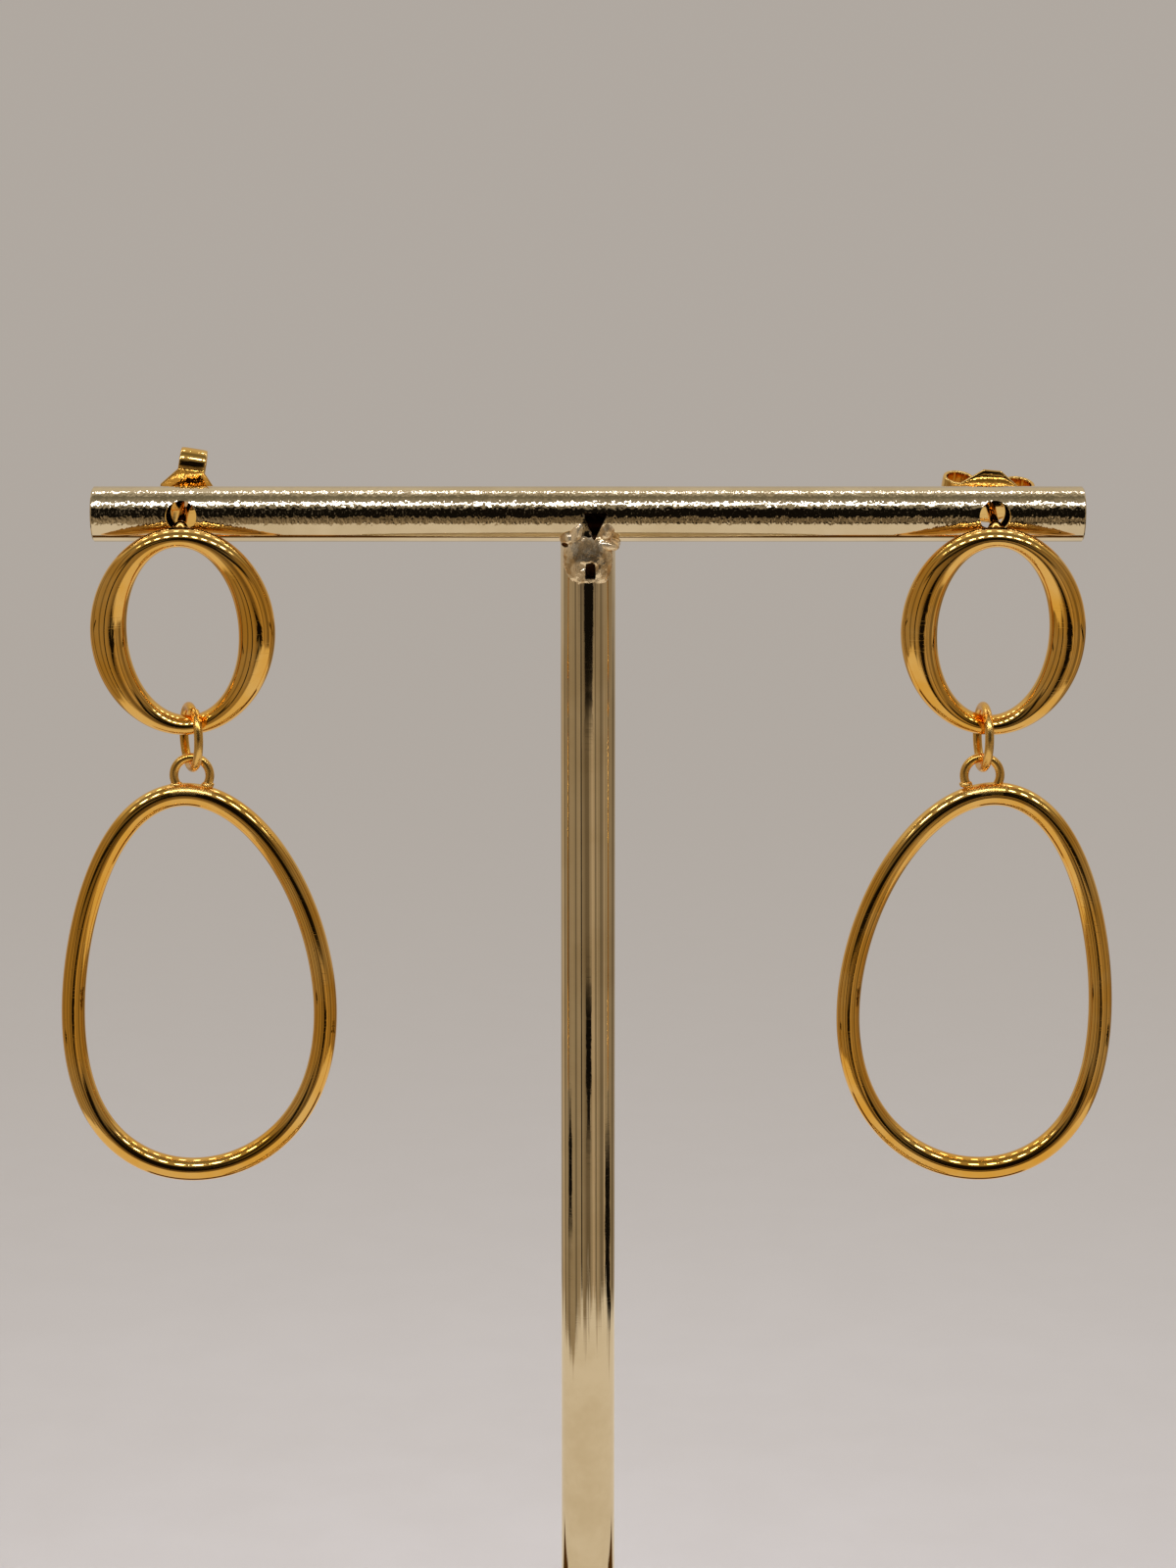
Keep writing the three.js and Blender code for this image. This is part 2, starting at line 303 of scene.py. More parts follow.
def volume_of(mesh: bpy.types.Mesh) -> float:
    """Signed volume of a closed mesh."""
    work = bmesh.new()
    work.from_mesh(mesh)
    volume = work.calc_volume(signed=True)
    work.free()
    return volume


def change(target: bpy.types.Object, tool: bpy.types.Object, operation: Operation) -> None:
    """Joins or cuts a piece with another, which is used up, and tests the volume that comes out.

    Args:
        target: the piece that changes.
        tool: the piece that it is changed with.
        operation: how.
    """
    before = volume_of(target.data)
    added = volume_of(tool.data)
    modifier = target.modifiers.new("solid", "BOOLEAN")
    modifier.object = tool
    modifier.operation = operation.value
    modifier.solver = "MANIFOLD"
    layer = bpy.context.evaluated_depsgraph_get()
    result = bpy.data.meshes.new_from_object(target.evaluated_get(layer))
    target.modifiers.clear()
    if abs(volume_of(result) - before) > 1.001 * added:
        raise RuntimeError(f"{target.name} can't be changed with {tool.name}")
    old = target.data
    target.data = result
    bpy.data.meshes.remove(old)
    bpy.data.meshes.remove(tool.data)


def finish_piece(piece: bpy.types.Object, material: bpy.types.Material, sharp: float) -> None:
    """Scales a piece to metres, smooths it and gives it its material.

    Args:
        piece: the finished piece, in millimetres.
        material: its material.
        sharp: angle in degrees above which an edge stays sharp.
    """
    mesh = piece.data
    mesh.transform(Matrix.Scale(METRES, 4))
    mesh.materials.clear()
    mesh.materials.append(material)
    mesh.shade_smooth()
    mesh.set_sharp_from_angle(angle=math.radians(sharp))
    mesh.update()


def mark_faces(piece: bpy.types.Object, name: str, values: Array) -> None:
    """Writes one value for each face as an attribute, which a finish reads.

    Args:
        piece: the piece, in millimetres.
        name: name of the attribute.
        values: one value for each face.
    """
    layer = piece.data.attributes.new(name, "FLOAT", "FACE")
    layer.data.foreach_set("value", np.asarray(values, np.float32))


def place(piece: bpy.types.Object, node: str, body: str) -> None:
    """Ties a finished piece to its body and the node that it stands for.

    Args:
        piece: the finished piece.
        node: the CAD node that it replaces.
        body: the body that it rides on.
    """
    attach(piece, body)
    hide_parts(node)
    log.info("%s: %d faces on %s", piece.name, len(piece.data.polygons), body)


# Shader graphs

Socket = bpy.types.NodeSocket
Value = Socket | float | Sequence[float]
BUMP_DISTANCE = 1e-5


@dataclass
class Graph:
    """Short forms for building a node tree."""

    tree: bpy.types.NodeTree

    def node(self, kind: str, inputs: dict | None = None, **settings) -> bpy.types.Node:
        """Adds a node, sets its properties and fills or links its inputs.

        Args:
            kind: type name of the node.
            inputs: values or sockets by input name or number.
            **settings: properties of the node.

        Returns:
            The new node.
        """
        made = self.tree.nodes.new(kind)
        for name, value in settings.items():
            setattr(made, name, value)
        for name, value in (inputs or {}).items():
            self.feed(made.inputs[name], value)
        return made

    def feed(self, socket: Socket, value: Value) -> None:
        """Links a socket to an input, or sets its value."""
        if isinstance(value, bpy.types.NodeSocket):
            self.tree.links.new(value, socket)
        else:
            socket.default_value = value

    def math(self, operation: str, first: Value, second: Value = 0.0, third: Value = 0.0) -> Socket:
        """Result of a math node."""
        made = self.node("ShaderNodeMath", {0: first, 1: second, 2: third}, operation=operation)
        return made.outputs[0]

    def span(
        self, value: Value, low: float, high: float, to_low: float = 0.0, to_high: float = 1.0
    ) -> Socket:
        """Value carried smoothly from one range to another and clamped there."""
        inputs = {"Value": value, "From Min": low, "From Max": high, "To Min": to_low, "To Max": to_high}
        made = self.node("ShaderNodeMapRange", inputs, interpolation_type="SMOOTHSTEP")
        return made.outputs["Result"]

    def between(self, value: Value, low: float, high: float, fade: float) -> Socket:
        """One between two values, with soft edges that lie above them, and zero elsewhere."""
        rising = self.span(value, low, low + fade)
        return self.math("MULTIPLY", rising, self.span(value, high, high + fade, 1.0, 0.0))

    def mix(self, share: Value, first: Value, second: Value) -> Socket:
        """Colour mixed from two by a share."""
        made = self.node("ShaderNodeMix", data_type="RGBA")
        self.feed(made.inputs[0], share)
        self.feed(made.inputs[6], first)
        self.feed(made.inputs[7], second)
        return made.outputs[2]

    def ramp(self, value: Value, stops: Sequence[tuple[float, Sequence[float]]]) -> Socket:
        """Colour from a ramp with the given places and colours."""
        made = self.node("ShaderNodeValToRGB", {"Fac": value})
        elements = made.color_ramp.elements
        while len(elements) < len(stops):
            elements.new(1.0)
        for element, (position, colour) in zip(elements, stops):
            element.position = position
            element.color = (*colour, 1.0)
        return made.outputs["Color"]

    def noise(self, vector: Socket, scale: float, detail: float = 2.0, rough: float = 0.5) -> Socket:
        """Value of a noise texture."""
        inputs = {"Vector": vector, "Scale": scale, "Detail": detail, "Roughness": rough}
        return self.node("ShaderNodeTexNoise", inputs).outputs["Fac"]

    def line_noise(self, value: Value, detail: float, rough: float = 0.5) -> Socket:
        """Value of a noise along a line."""
        inputs = {"W": value, "Scale": 1.0, "Detail": detail, "Roughness": rough}
        return self.node("ShaderNodeTexNoise", inputs, noise_dimensions="1D").outputs["Fac"]

    def blend(self, share: Value, first: Socket, second: Socket) -> Socket:
        """Shader mixed from two by a share."""
        return self.node("ShaderNodeMixShader", {0: share, 1: first, 2: second}).outputs[0]

    def background(self, colour: Value, strength: Value = 1.0) -> Socket:
        """Shader of a world's background."""
        return self.node("ShaderNodeBackground", {"Color": colour, "Strength": strength}).outputs[0]

    def bump(self, shader: bpy.types.Node, strength: Value, height: Socket) -> None:
        """Feeds a fine bump to a shader's normal."""
        inputs = {"Strength": strength, "Distance": BUMP_DISTANCE, "Height": height}
        self.feed(shader.inputs["Normal"], self.node("ShaderNodeBump", inputs).outputs["Normal"])

    def stretched(self, vector: Socket, scale: Sequence[float], turn: float = 0.0) -> Socket:
        """Vector scaled unevenly after a turn about Y, in degrees."""
        inputs = {"Vector": vector, "Scale": scale, "Rotation": (0.0, math.radians(turn), 0.0)}
        return self.node("ShaderNodeMapping", inputs).outputs["Vector"]


def new_group(
    name: str, inputs: Sequence[tuple[str, str, float]], outputs: Sequence[tuple[str, str]]
) -> Graph:
    """Empty shader group with its sockets.

    Args:
        name: name of the group.
        inputs: name, socket type and default of each input.
        outputs: name and socket type of each output.

    Returns:
        Graph of the group's tree, with one input node and one output node.
    """
    tree = bpy.data.node_groups.new(name, "ShaderNodeTree")
    for label, kind, default in inputs:
        socket = tree.interface.new_socket(label, in_out="INPUT", socket_type=kind)
        if kind == "NodeSocketFloat":
            socket.default_value = default
    for label, kind in outputs:
        tree.interface.new_socket(label, in_out="OUTPUT", socket_type=kind)
    graph = Graph(tree)
    graph.node("NodeGroupInput")
    graph.node("NodeGroupOutput")
    return graph


# Hairlines of the wear group: stretch along the three axes and turn about Y in degrees
HAIRLINES = [
    ((260.0, 260.0, 9000.0), 12.0),
    ((9000.0, 260.0, 220.0), -24.0),
    ((400.0, 900.0, 7000.0), 63.0),
]
GRAIN_STRETCH = (3200.0, 2000.0, 2000.0)


def polish_wear_group() -> bpy.types.NodeTree:
    """Group for what handling leaves on polished metal.

    Smears are broad noise, hairlines are noise drawn out along three directions, and grain is fine
    noise that changes fastest along X, which makes speckles on the bar and streaks on the upright.

    Returns:
        Group with the inputs Vector and Scratches and the outputs Smear, Height and Grain.
    """
    graph = new_group(
        "polish_wear",
        [("Vector", "NodeSocketVector", 0.0), ("Scratches", "NodeSocketFloat", 0.5)],
        [("Smear", "NodeSocketFloat"), ("Height", "NodeSocketFloat"), ("Grain", "NodeSocketFloat")],
    )
    given = graph.tree.nodes["Group Input"].outputs
    result = graph.tree.nodes["Group Output"].inputs
    vector = given["Vector"]
    smear = graph.span(graph.noise(vector, 140.0, 4.0, 0.6), 0.35, 0.7)
    hairlines = None
    for stretch, turn in HAIRLINES:
        lines = graph.noise(graph.stretched(vector, stretch, turn), 1.0, 1.0, 0.4)
        lines = graph.span(lines, 0.66, 0.74)
        hairlines = lines if hairlines is None else graph.math("MAXIMUM", hairlines, lines)
    worn = graph.math("MULTIPLY", hairlines, given["Scratches"])
    waves = graph.noise(vector, 420.0, 2.0, 0.5)
    height = graph.math("SUBTRACT", waves, worn)
    graph.feed(result["Smear"], smear)
    graph.feed(result["Height"], height)
    graph.feed(result["Grain"], graph.noise(graph.stretched(vector, GRAIN_STRETCH), 1.0, 1.5, 0.5))
    return graph.tree


def new_material(name: str) -> tuple[bpy.types.Material, Graph, bpy.types.Node]:
    """Material with its graph and its Principled node."""
    material = bpy.data.materials.new(name)
    material.use_nodes = True
    graph = Graph(material.node_tree)
    return material, graph, material.node_tree.nodes["Principled BSDF"]


def place_wear(
    graph: Graph, wear: bpy.types.NodeTree, scratches: float
) -> tuple[Socket, bpy.types.bpy_prop_collection]:
    """Places the wear group in a material.

    Args:
        graph: graph of the material.
        wear: tree of the wear group.
        scratches: strength of the hairlines.

    Returns:
        Object coordinates, and the group's outputs.
    """
    place_on_piece = graph.node("ShaderNodeTexCoord").outputs["Object"]
    worn = graph.node("ShaderNodeGroup", node_tree=wear)
    graph.feed(worn.inputs["Vector"], place_on_piece)
    graph.feed(worn.inputs["Scratches"], scratches)
    return place_on_piece, worn.outputs


@dataclass(frozen=True)
class MirrorGold:
    """Rich yellow gold plate, mirror polished, with faint smears and fine polishing waves.

    Faces marked by the attribute wire, which are the small links and loops, are rougher and have
    less of the waves.
    """

    name: str = "mirror_gold"
    deep: tuple = (0.89, 0.46, 0.065)
    pale: tuple = (0.94, 0.58, 0.17)
    roughness: tuple = (0.02, 0.06)
    wire_roughness: float = 0.2
    wire_calm: float = 0.8
    wave: float = 0.2
    scratches: float = 0.35

    def build(self, wear: bpy.types.NodeTree) -> bpy.types.Material:
        """Makes the material from the finish's values.

        Args:
            wear: tree of the shared wear group.

        Returns:
            The material.
        """
        material, graph, shader = new_material(self.name)
        _, worn = place_wear(graph, wear, self.scratches)
        tint = graph.mix(worn["Smear"], (*self.deep, 1.0), (*self.pale, 1.0))
        graph.feed(shader.inputs["Base Color"], tint)
        wire = graph.node("ShaderNodeAttribute", attribute_name="wire").outputs["Fac"]
        rough = graph.span(worn["Smear"], 0.0, 1.0, *self.roughness)
        rough = graph.math("MULTIPLY_ADD", wire, self.wire_roughness, rough)
        graph.feed(shader.inputs["Roughness"], rough)
        graph.feed(shader.inputs["Metallic"], 1.0)
        strength = graph.math("MULTIPLY_ADD", wire, -self.wire_calm * self.wave, self.wave)
        graph.bump(shader, strength, worn["Height"])
        return material


@dataclass(frozen=True)
class ChampagnePlate:
    """Pale champagne plate on steel tube: polished, and speckled by its grain where it is the bar.

    Faces marked by the attribute solder are rougher, crusted and mottled with brown flux, and less
    metallic near the top. Faces marked on the tube's bore and in the deep V gap of the solder are rougher
    and painted dark brown: painted shade in these recesses. The base, below the satin height, is
    brushed. Heights are in metres above the base's underside.
    """

    name: str = "champagne_plate"
    deep: tuple = (0.74, 0.59, 0.36)
    pale: tuple = (0.84, 0.69, 0.45)
    solder: tuple = (1.0, 0.79, 0.50)
    flux: tuple = (0.62, 0.41, 0.19)
    # Dark brown of the bore and the deep V gap: painted shade in these recesses
    bore: tuple = (0.20, 0.10, 0.045)
    roughness: tuple = (0.015, 0.05)
    solder_roughness: float = 0.14
    solder_share: float = 0.9
    solder_loss: tuple = (0.08, 0.2)
    mottle: float = 1100.0
    bore_roughness: float = 0.25
    wave: float = 0.3
    scratches: float = 0.05
    speckle: float = 20.0
    speckled_above: float = 0.1270
    pale_above: float = 0.1252
    pale_fade: float = 0.0014
    crust: float = 30.0
    satin_below: float = 0.005
    satin_roughness: float = 0.28
    fade: float = 0.001

    def build(self, wear: bpy.types.NodeTree) -> bpy.types.Material:
        """Makes the material from the finish's values.

        Args:
            wear: tree of the shared wear group.

        Returns:
            The material.
        """
        material, graph, shader = new_material(self.name)
        place_on_piece, worn = place_wear(graph, wear, self.scratches)
        solder = graph.node("ShaderNodeAttribute", attribute_name="solder").outputs["Fac"]
        inside = graph.node("ShaderNodeAttribute", attribute_name="inside").outputs["Fac"]
        height = graph.node("ShaderNodeSeparateXYZ", {0: place_on_piece}).outputs["Z"]
        tint = graph.mix(worn["Smear"], (*self.pale, 1.0), (*self.deep, 1.0))
        mottle = graph.noise(place_on_piece, self.mottle, 4.0, 0.6)
        mottled = graph.mix(graph.span(mottle, 0.42, 0.55), (*self.flux, 1.0), (*self.solder, 1.0))
        tint = graph.mix(graph.math("MULTIPLY", solder, self.solder_share), tint, mottled)
        # Painted shade: dark brown on the bore and in the deep V gap
        tint = graph.mix(inside, tint, (*self.bore, 1.0))
        graph.feed(shader.inputs["Base Color"], tint)
        rough = graph.span(worn["Smear"], 0.0, 1.0, *self.roughness)
        rough = graph.math("ADD", rough, graph.math("MULTIPLY", solder, self.solder_roughness))
        rough = graph.math("ADD", rough, graph.math("MULTIPLY", inside, self.bore_roughness))
        satin = graph.span(height, self.satin_below, self.satin_below + self.fade, self.satin_roughness, 0.0)
        graph.feed(shader.inputs["Roughness"], graph.math("ADD", rough, satin))
        loss = graph.span(height, self.pale_above - self.pale_fade, self.pale_above, *self.solder_loss)
        loss = graph.math("MULTIPLY", solder, loss)
        graph.feed(shader.inputs["Metallic"], graph.math("SUBTRACT", 1.0, loss))
        on_bar = graph.span(height, self.speckled_above - self.fade, self.speckled_above, 0.0, self.speckle)
        uneven = graph.math("MULTIPLY_ADD", worn["Grain"], on_bar, worn["Height"])
        crusted = graph.math("MULTIPLY", solder, self.crust)
        uneven = graph.math("MULTIPLY_ADD", mottle, crusted, uneven)
        graph.bump(shader, self.wave, uneven)
        return material


# The stand

@dataclass
class Stand:
    """Round base, and a T of two tubes joined by a rough solder joint."""

    metal: bpy.types.Material
    tube_radius: float = 2.5
    wall: float = 0.6
    hole_radius: float = 1.4
    hole_spacing: float = 72.9
    end_bevel: float = 0.12
    base_edge: float = 0.9
    socket_clearance: float = 0.15
    socket_depth: float = 2.4
    ring_reach: float = 4.5
    upright_rings_below: float = 6.0
    plug_length: float = 5.2
    solder_reach: float = 4.2
    solder_below: float = 9.0
    # Where the deep faces of the V gap get painted shade: their depths along Y, and middle and half width in
    # X
    gap_depths: tuple = (-1.95, 1.2)
    gap_middle: float = 0.4
    gap_half: float = 1.0
    sides: int = 128
    axis_height: float = field(init=False)
    half_length: float = field(init=False)

    def __post_init__(self) -> None:
        """Reads the bar's height and length from the frame."""
        low, high = box_in_mm("stand_t_bar")
        self.axis_height = float(high[2]) - self.tube_radius
        self.half_length = float(high[0] - low[0]) / 2

    def build(self) -> None:
        """Makes the base and the T-bar."""
        self.build_base()
        self.build_t_bar()

    def build_base(self) -> None:
        """Turned disc: flat underside, rounded rim and a blind socket for the upright."""
        _, high = box_in_mm("stand_base")
        radius = float(high[0])
        top = float(high[2])
        edge = self.base_edge
        arc = np.linspace(0, np.pi / 2, 10)
        rim = [(top - edge + edge * math.sin(a), radius - edge + edge * math.cos(a)) for a in arc]
        foot = [(edge / 2 - edge / 2 * math.cos(a), radius - edge / 2 + edge / 2 * math.sin(a)) for a in arc]
        socket = self.tube_radius + self.socket_clearance
        floor = top - self.socket_depth
        mouth = [(top, socket + edge / 3), (top - edge / 6, socket), (floor, socket)]
        profile = [(0, 0), *foot, *rim, *mouth, (floor, 0)]
        piece = solid_from_grid("base_disc", turned(profile, (0, 0, 0), (0, 0, 1), 192))
        finish_piece(piece, self.metal, 30)
        place(piece, "stand_base", "stand")

    def build_t_bar(self) -> None:
        """Joins the tubes and the solder, cuts the bores and holes, and marks the surfaces."""
        low, _ = box_in_mm("stand_t_bar")
        height = self.axis_height
        radius = self.tube_radius
        bore = radius - self.wall
        ends = [np.array([side * self.half_length, 0, height]) for side in (-1, 1)]
        near_joint = np.linspace(-self.ring_reach, self.ring_reach, 10)
        rings = self.half_length + near_joint
        bar = solid_from_grid("t_bar", rod(ends[0], ends[1], radius, self.sides, self.end_bevel, rings))
        foot = np.array([0, 0, float(low[2])])
        rings = height - foot[2] + near_joint - self.upright_rings_below
        upright = rod(foot, (0, 0, height), radius, self.sides, self.end_bevel, rings)
        change(bar, solid_from_grid("upright", upright), Operation.JOIN)
        plug_top = height - radius - self.plug_length
        bore_tool = rod(foot - (0, 0, 1), (0, 0, plug_top), bore, self.sides)
        change(bar, solid_from_grid("upright_bore", bore_tool), Operation.CUT)
        bar_bore = rod(ends[0] - (1, 0, 0), ends[1] + (1, 0, 0), bore, self.sides)
        change(bar, solid_from_grid("bar_bore", bar_bore), Operation.CUT)
        for side in (-1, 1):
            x = side * self.hole_spacing / 2
            tool = rod((x, -2 * radius, height), (x, 2 * radius, height), self.hole_radius, 64)
            change(bar, solid_from_grid("post_hole", tool), Operation.CUT)
        SolderJoint(height, radius, bore).apply(bar)
        self.mark(bar)
        finish_piece(bar, self.metal, 35)
        self.true_normals(bar)
        place(bar, "stand_t_bar", "stand")

    def arms(self, points: Array) -> tuple[Array, Array]:
        """Vectors from the bar's axis and from the upright's axis to points in millimetres."""
        return points * (0, 1, 1) - (0, 0, self.axis_height), points * (1, 1, 0)

    def forms(self, points: Array, normals: Array) -> Array:
        """Tells which faces lie on a tube's outer wall or bore, by their distance from its axis.

        Args:
            points: middle of each face, in millimetres.
            normals: normal of each face.

        Returns:
            The form of each face.
        """
        slack, aligned = 0.03, 0.97
        kind = np.full(len(points), Form.SOLDER, int)
        walls = ((Form.BAR_WALL, Form.BAR_BORE), (Form.UPRIGHT_WALL, Form.UPRIGHT_BORE))
        for (wall, bore), arms in zip(walls, self.arms(points)):
            distance = np.linalg.norm(arms, axis=1)
            facing = (arms / np.maximum(distance, 1e-9)[:, None] * normals).sum(1)
            outside = np.abs(distance - self.tube_radius) < slack
            kind[outside & (facing > aligned)] = wall
            inside = np.abs(distance - self.tube_radius + self.wall) < slack
            kind[inside & (facing < -aligned)] = bore
        return kind

    def mark(self, bar: bpy.types.Object) -> None:
        """Writes the attribute solder, and the attribute that gives the bore and the deep V gap their painted
        shade, which the finish reads.
        """
        faces = bar.data.polygons
        centres = read(faces, "center", 3)
        kind = self.forms(centres, read(faces, "normal", 3))
        x, y, z = centres.T
        solder = (np.abs(x) < self.solder_reach) & (z > self.axis_height - self.solder_below)
        solder &= kind == Form.SOLDER
        # The deep faces of the V gap get the bore's painted shade
        deep = solder & (y > self.gap_depths[0]) & (y < self.gap_depths[1])
        deep &= np.abs(x - self.gap_middle) < self.gap_half
        mark_faces(bar, "solder", solder)
        mark_faces(bar, "inside", (kind == Form.BAR_BORE) | (kind == Form.UPRIGHT_BORE) | deep)

    def true_normals(self, bar: bpy.types.Object) -> None:
        """Gives the tubes' faces the exact normals of their cylinders, so that long faces shade evenly."""
        mesh = bar.data
        faces = mesh.polygons
        kind = self.forms(read(faces, "center", 3) / METRES, read(faces, "normal", 3))
        corner_kind = np.repeat(kind, read(faces, "loop_total", kind=int))
        points = read(mesh.vertices, "co", 3)[read(mesh.loops, "vertex_index", kind=int)] / METRES
        chosen = read(mesh.corner_normals, "vector", 3)
        around_bar, around_upright = (unit(arms + 1e-12) for arms in self.arms(points))
        for form, outwards, sign in (
            (Form.BAR_WALL, around_bar, 1), (Form.BAR_BORE, around_bar, -1),
            (Form.UPRIGHT_WALL, around_upright, 1), (Form.UPRIGHT_BORE, around_upright, -1),
        ):
            chosen[corner_kind == form] = sign * outwards[corner_kind == form]
        mesh.normals_split_custom_set(chosen.tolist())


@dataclass(frozen=True)
class Lump:
    """A lump or pit of the solder: its centre, its half size and its lean about Y in degrees."""

    centre: tuple
    half: tuple
    lean: float = 0.0


@dataclass
class SolderJoint:
    """Solder under the bar: a dished blob on the upright, masses on both sides of a V gap, and pits.

    Places are in millimetres from the bar's axis over the upright, and leans are in degrees about Y.
    """

    axis_height: float
    radius: float
    bore: float

    bore_clearance: float = 0.02
    blob: Lump = Lump((0.0, -1.75, -3.9), (2.25, 1.05, 2.9))
    left_mass: Lump = Lump((-0.85, -1.55, -1.5), (0.8, 1.02, 1.75), 20.0)
    left_shoulder: Lump = Lump((-1.7, -1.35, -2.1), (0.85, 1.0, 0.8), 20.0)
    right_mass: Lump = Lump((1.65, -1.5, -1.25), (0.85, 1.02, 1.45), 26.0)
    right_shoulder: Lump = Lump((1.5, -1.65, -2.6), (1.35, 0.95, 0.6), 8.0)
    right_flank: Lump = Lump((2.05, -0.7, -2.5), (0.85, 1.3, 0.75))
    back_bead: Lump = Lump((0.2, 1.75, -2.6), (1.9, 0.95, 1.1), 4.0)
    dish: Lump = Lump((0.1, -3.4, -4.5), (1.35, 0.95, 0.75))
    corner_pit: Lump = Lump((-2.05, -1.3, -2.6), (0.4, 1.4, 0.26))
    gap: tuple = ((-0.5, 0.35), (1.85, 0.35), (0.55, -2.3))
    gap_depth: float = 3.2
    hole: tuple = ((-0.22, -4.2), (0.68, -4.2), (0.72, -5.65), (-0.28, -5.65))
    hole_depth: float = 3.6

    def masses(self, origin: Array) -> list[Array]:
        """Grids of the uneven lumps round the crossing of the axes."""
        grids = []
        lumps = (
            self.blob, self.left_mass, self.left_shoulder, self.right_mass, self.right_shoulder,
            self.right_flank, self.back_bead,
        )
        for number, lump in enumerate(lumps):
            grid = ellipsoid((0, 0, 0), lump.half, 40, 64)
            grid *= 1 + ripple(grid, 1.3, 0.03, number)[..., None]
            grid += ripple(grid, 0.6, 0.009, number + 40)[..., None]
            leaning = np.array(Matrix.Rotation(math.radians(lump.lean), 3, "Y"))
            grids.append(grid @ leaning.T + origin + lump.centre)
        return grids

    def apply(self, bar: bpy.types.Object) -> None:
        """Joins the lumps outside the bore to the bar, then cuts the dish, the V gap and the pits.

        Args:
            bar: the T of two tubes, in millimetres.
        """
        origin = np.array([0.0, 0.0, self.axis_height])
        reach = np.array([9.0, 0.0, 0.0])
        solder, *others = [solid_from_grid("lump", grid) for grid in self.masses(origin)]
        for piece in others:
            change(solder, piece, Operation.JOIN)
        clear = rod(origin - reach, origin + reach, self.bore + self.bore_clearance, 96)
        change(solder, solid_from_grid("clear_bore", clear), Operation.CUT)
        change(bar, solder, Operation.JOIN)
        dish = ellipsoid(origin + self.dish.centre, self.dish.half, 32, 56)
        dish += ripple(dish, 0.7, 0.05, 5)[..., None] * (0, 1, 0)
        corner = ellipsoid(origin + self.corner_pit.centre, self.corner_pit.half, 20, 36)
        gap = self.pit(self.gap, self.gap_depth) + origin
        hole = self.pit(self.hole, self.hole_depth) + origin
        for name, points in (("dish", dish), ("corner", corner), ("gap", gap), ("hole", hole)):
            change(bar, solid_from_grid(name, points), Operation.CUT)

    def pit(self, corners: Sequence[tuple[float, float]], depth: float) -> Array:
        """Grid of a pit cut from the front: a rounded outline through the corners, drawn back along Y.

        The outline goes round the corners in straight steps, is smoothed by a running mean, and is
        made uneven by ripples.

        Args:
            corners: places of the corners in X and Z.
            depth: depth of the pit.

        Returns:
            Grid of points, levels by outline by three.
        """
        corners = np.array((*corners, corners[0]), float)
        share = np.linspace(0, len(corners) - 1, 96, endpoint=False)
        outline = np.stack([np.interp(share, np.arange(len(corners)), column) for column in corners.T], -1)
        outline = np.mean([np.roll(outline, shift, 0) for shift in range(-4, 5)], 0)
        middle = outline.mean(0)
        front = -self.radius - 1.0
        levels = np.linspace(front, front + depth, 14)
        size = np.concatenate([[0.0], np.ones(len(levels)), [0.0]])
        levels = np.concatenate([[front], levels, [front + depth]])
        flat = middle + (outline - middle) * size[:, None, None]
        points = np.stack([flat[..., 0], np.broadcast_to(levels[:, None], flat.shape[:2]), flat[..., 1]], -1)
        uneven = ripple(points, 0.7, 0.05, 21)[..., None] * size[:, None, None]
        return points + uneven * (1, 0, 1)


# The earrings

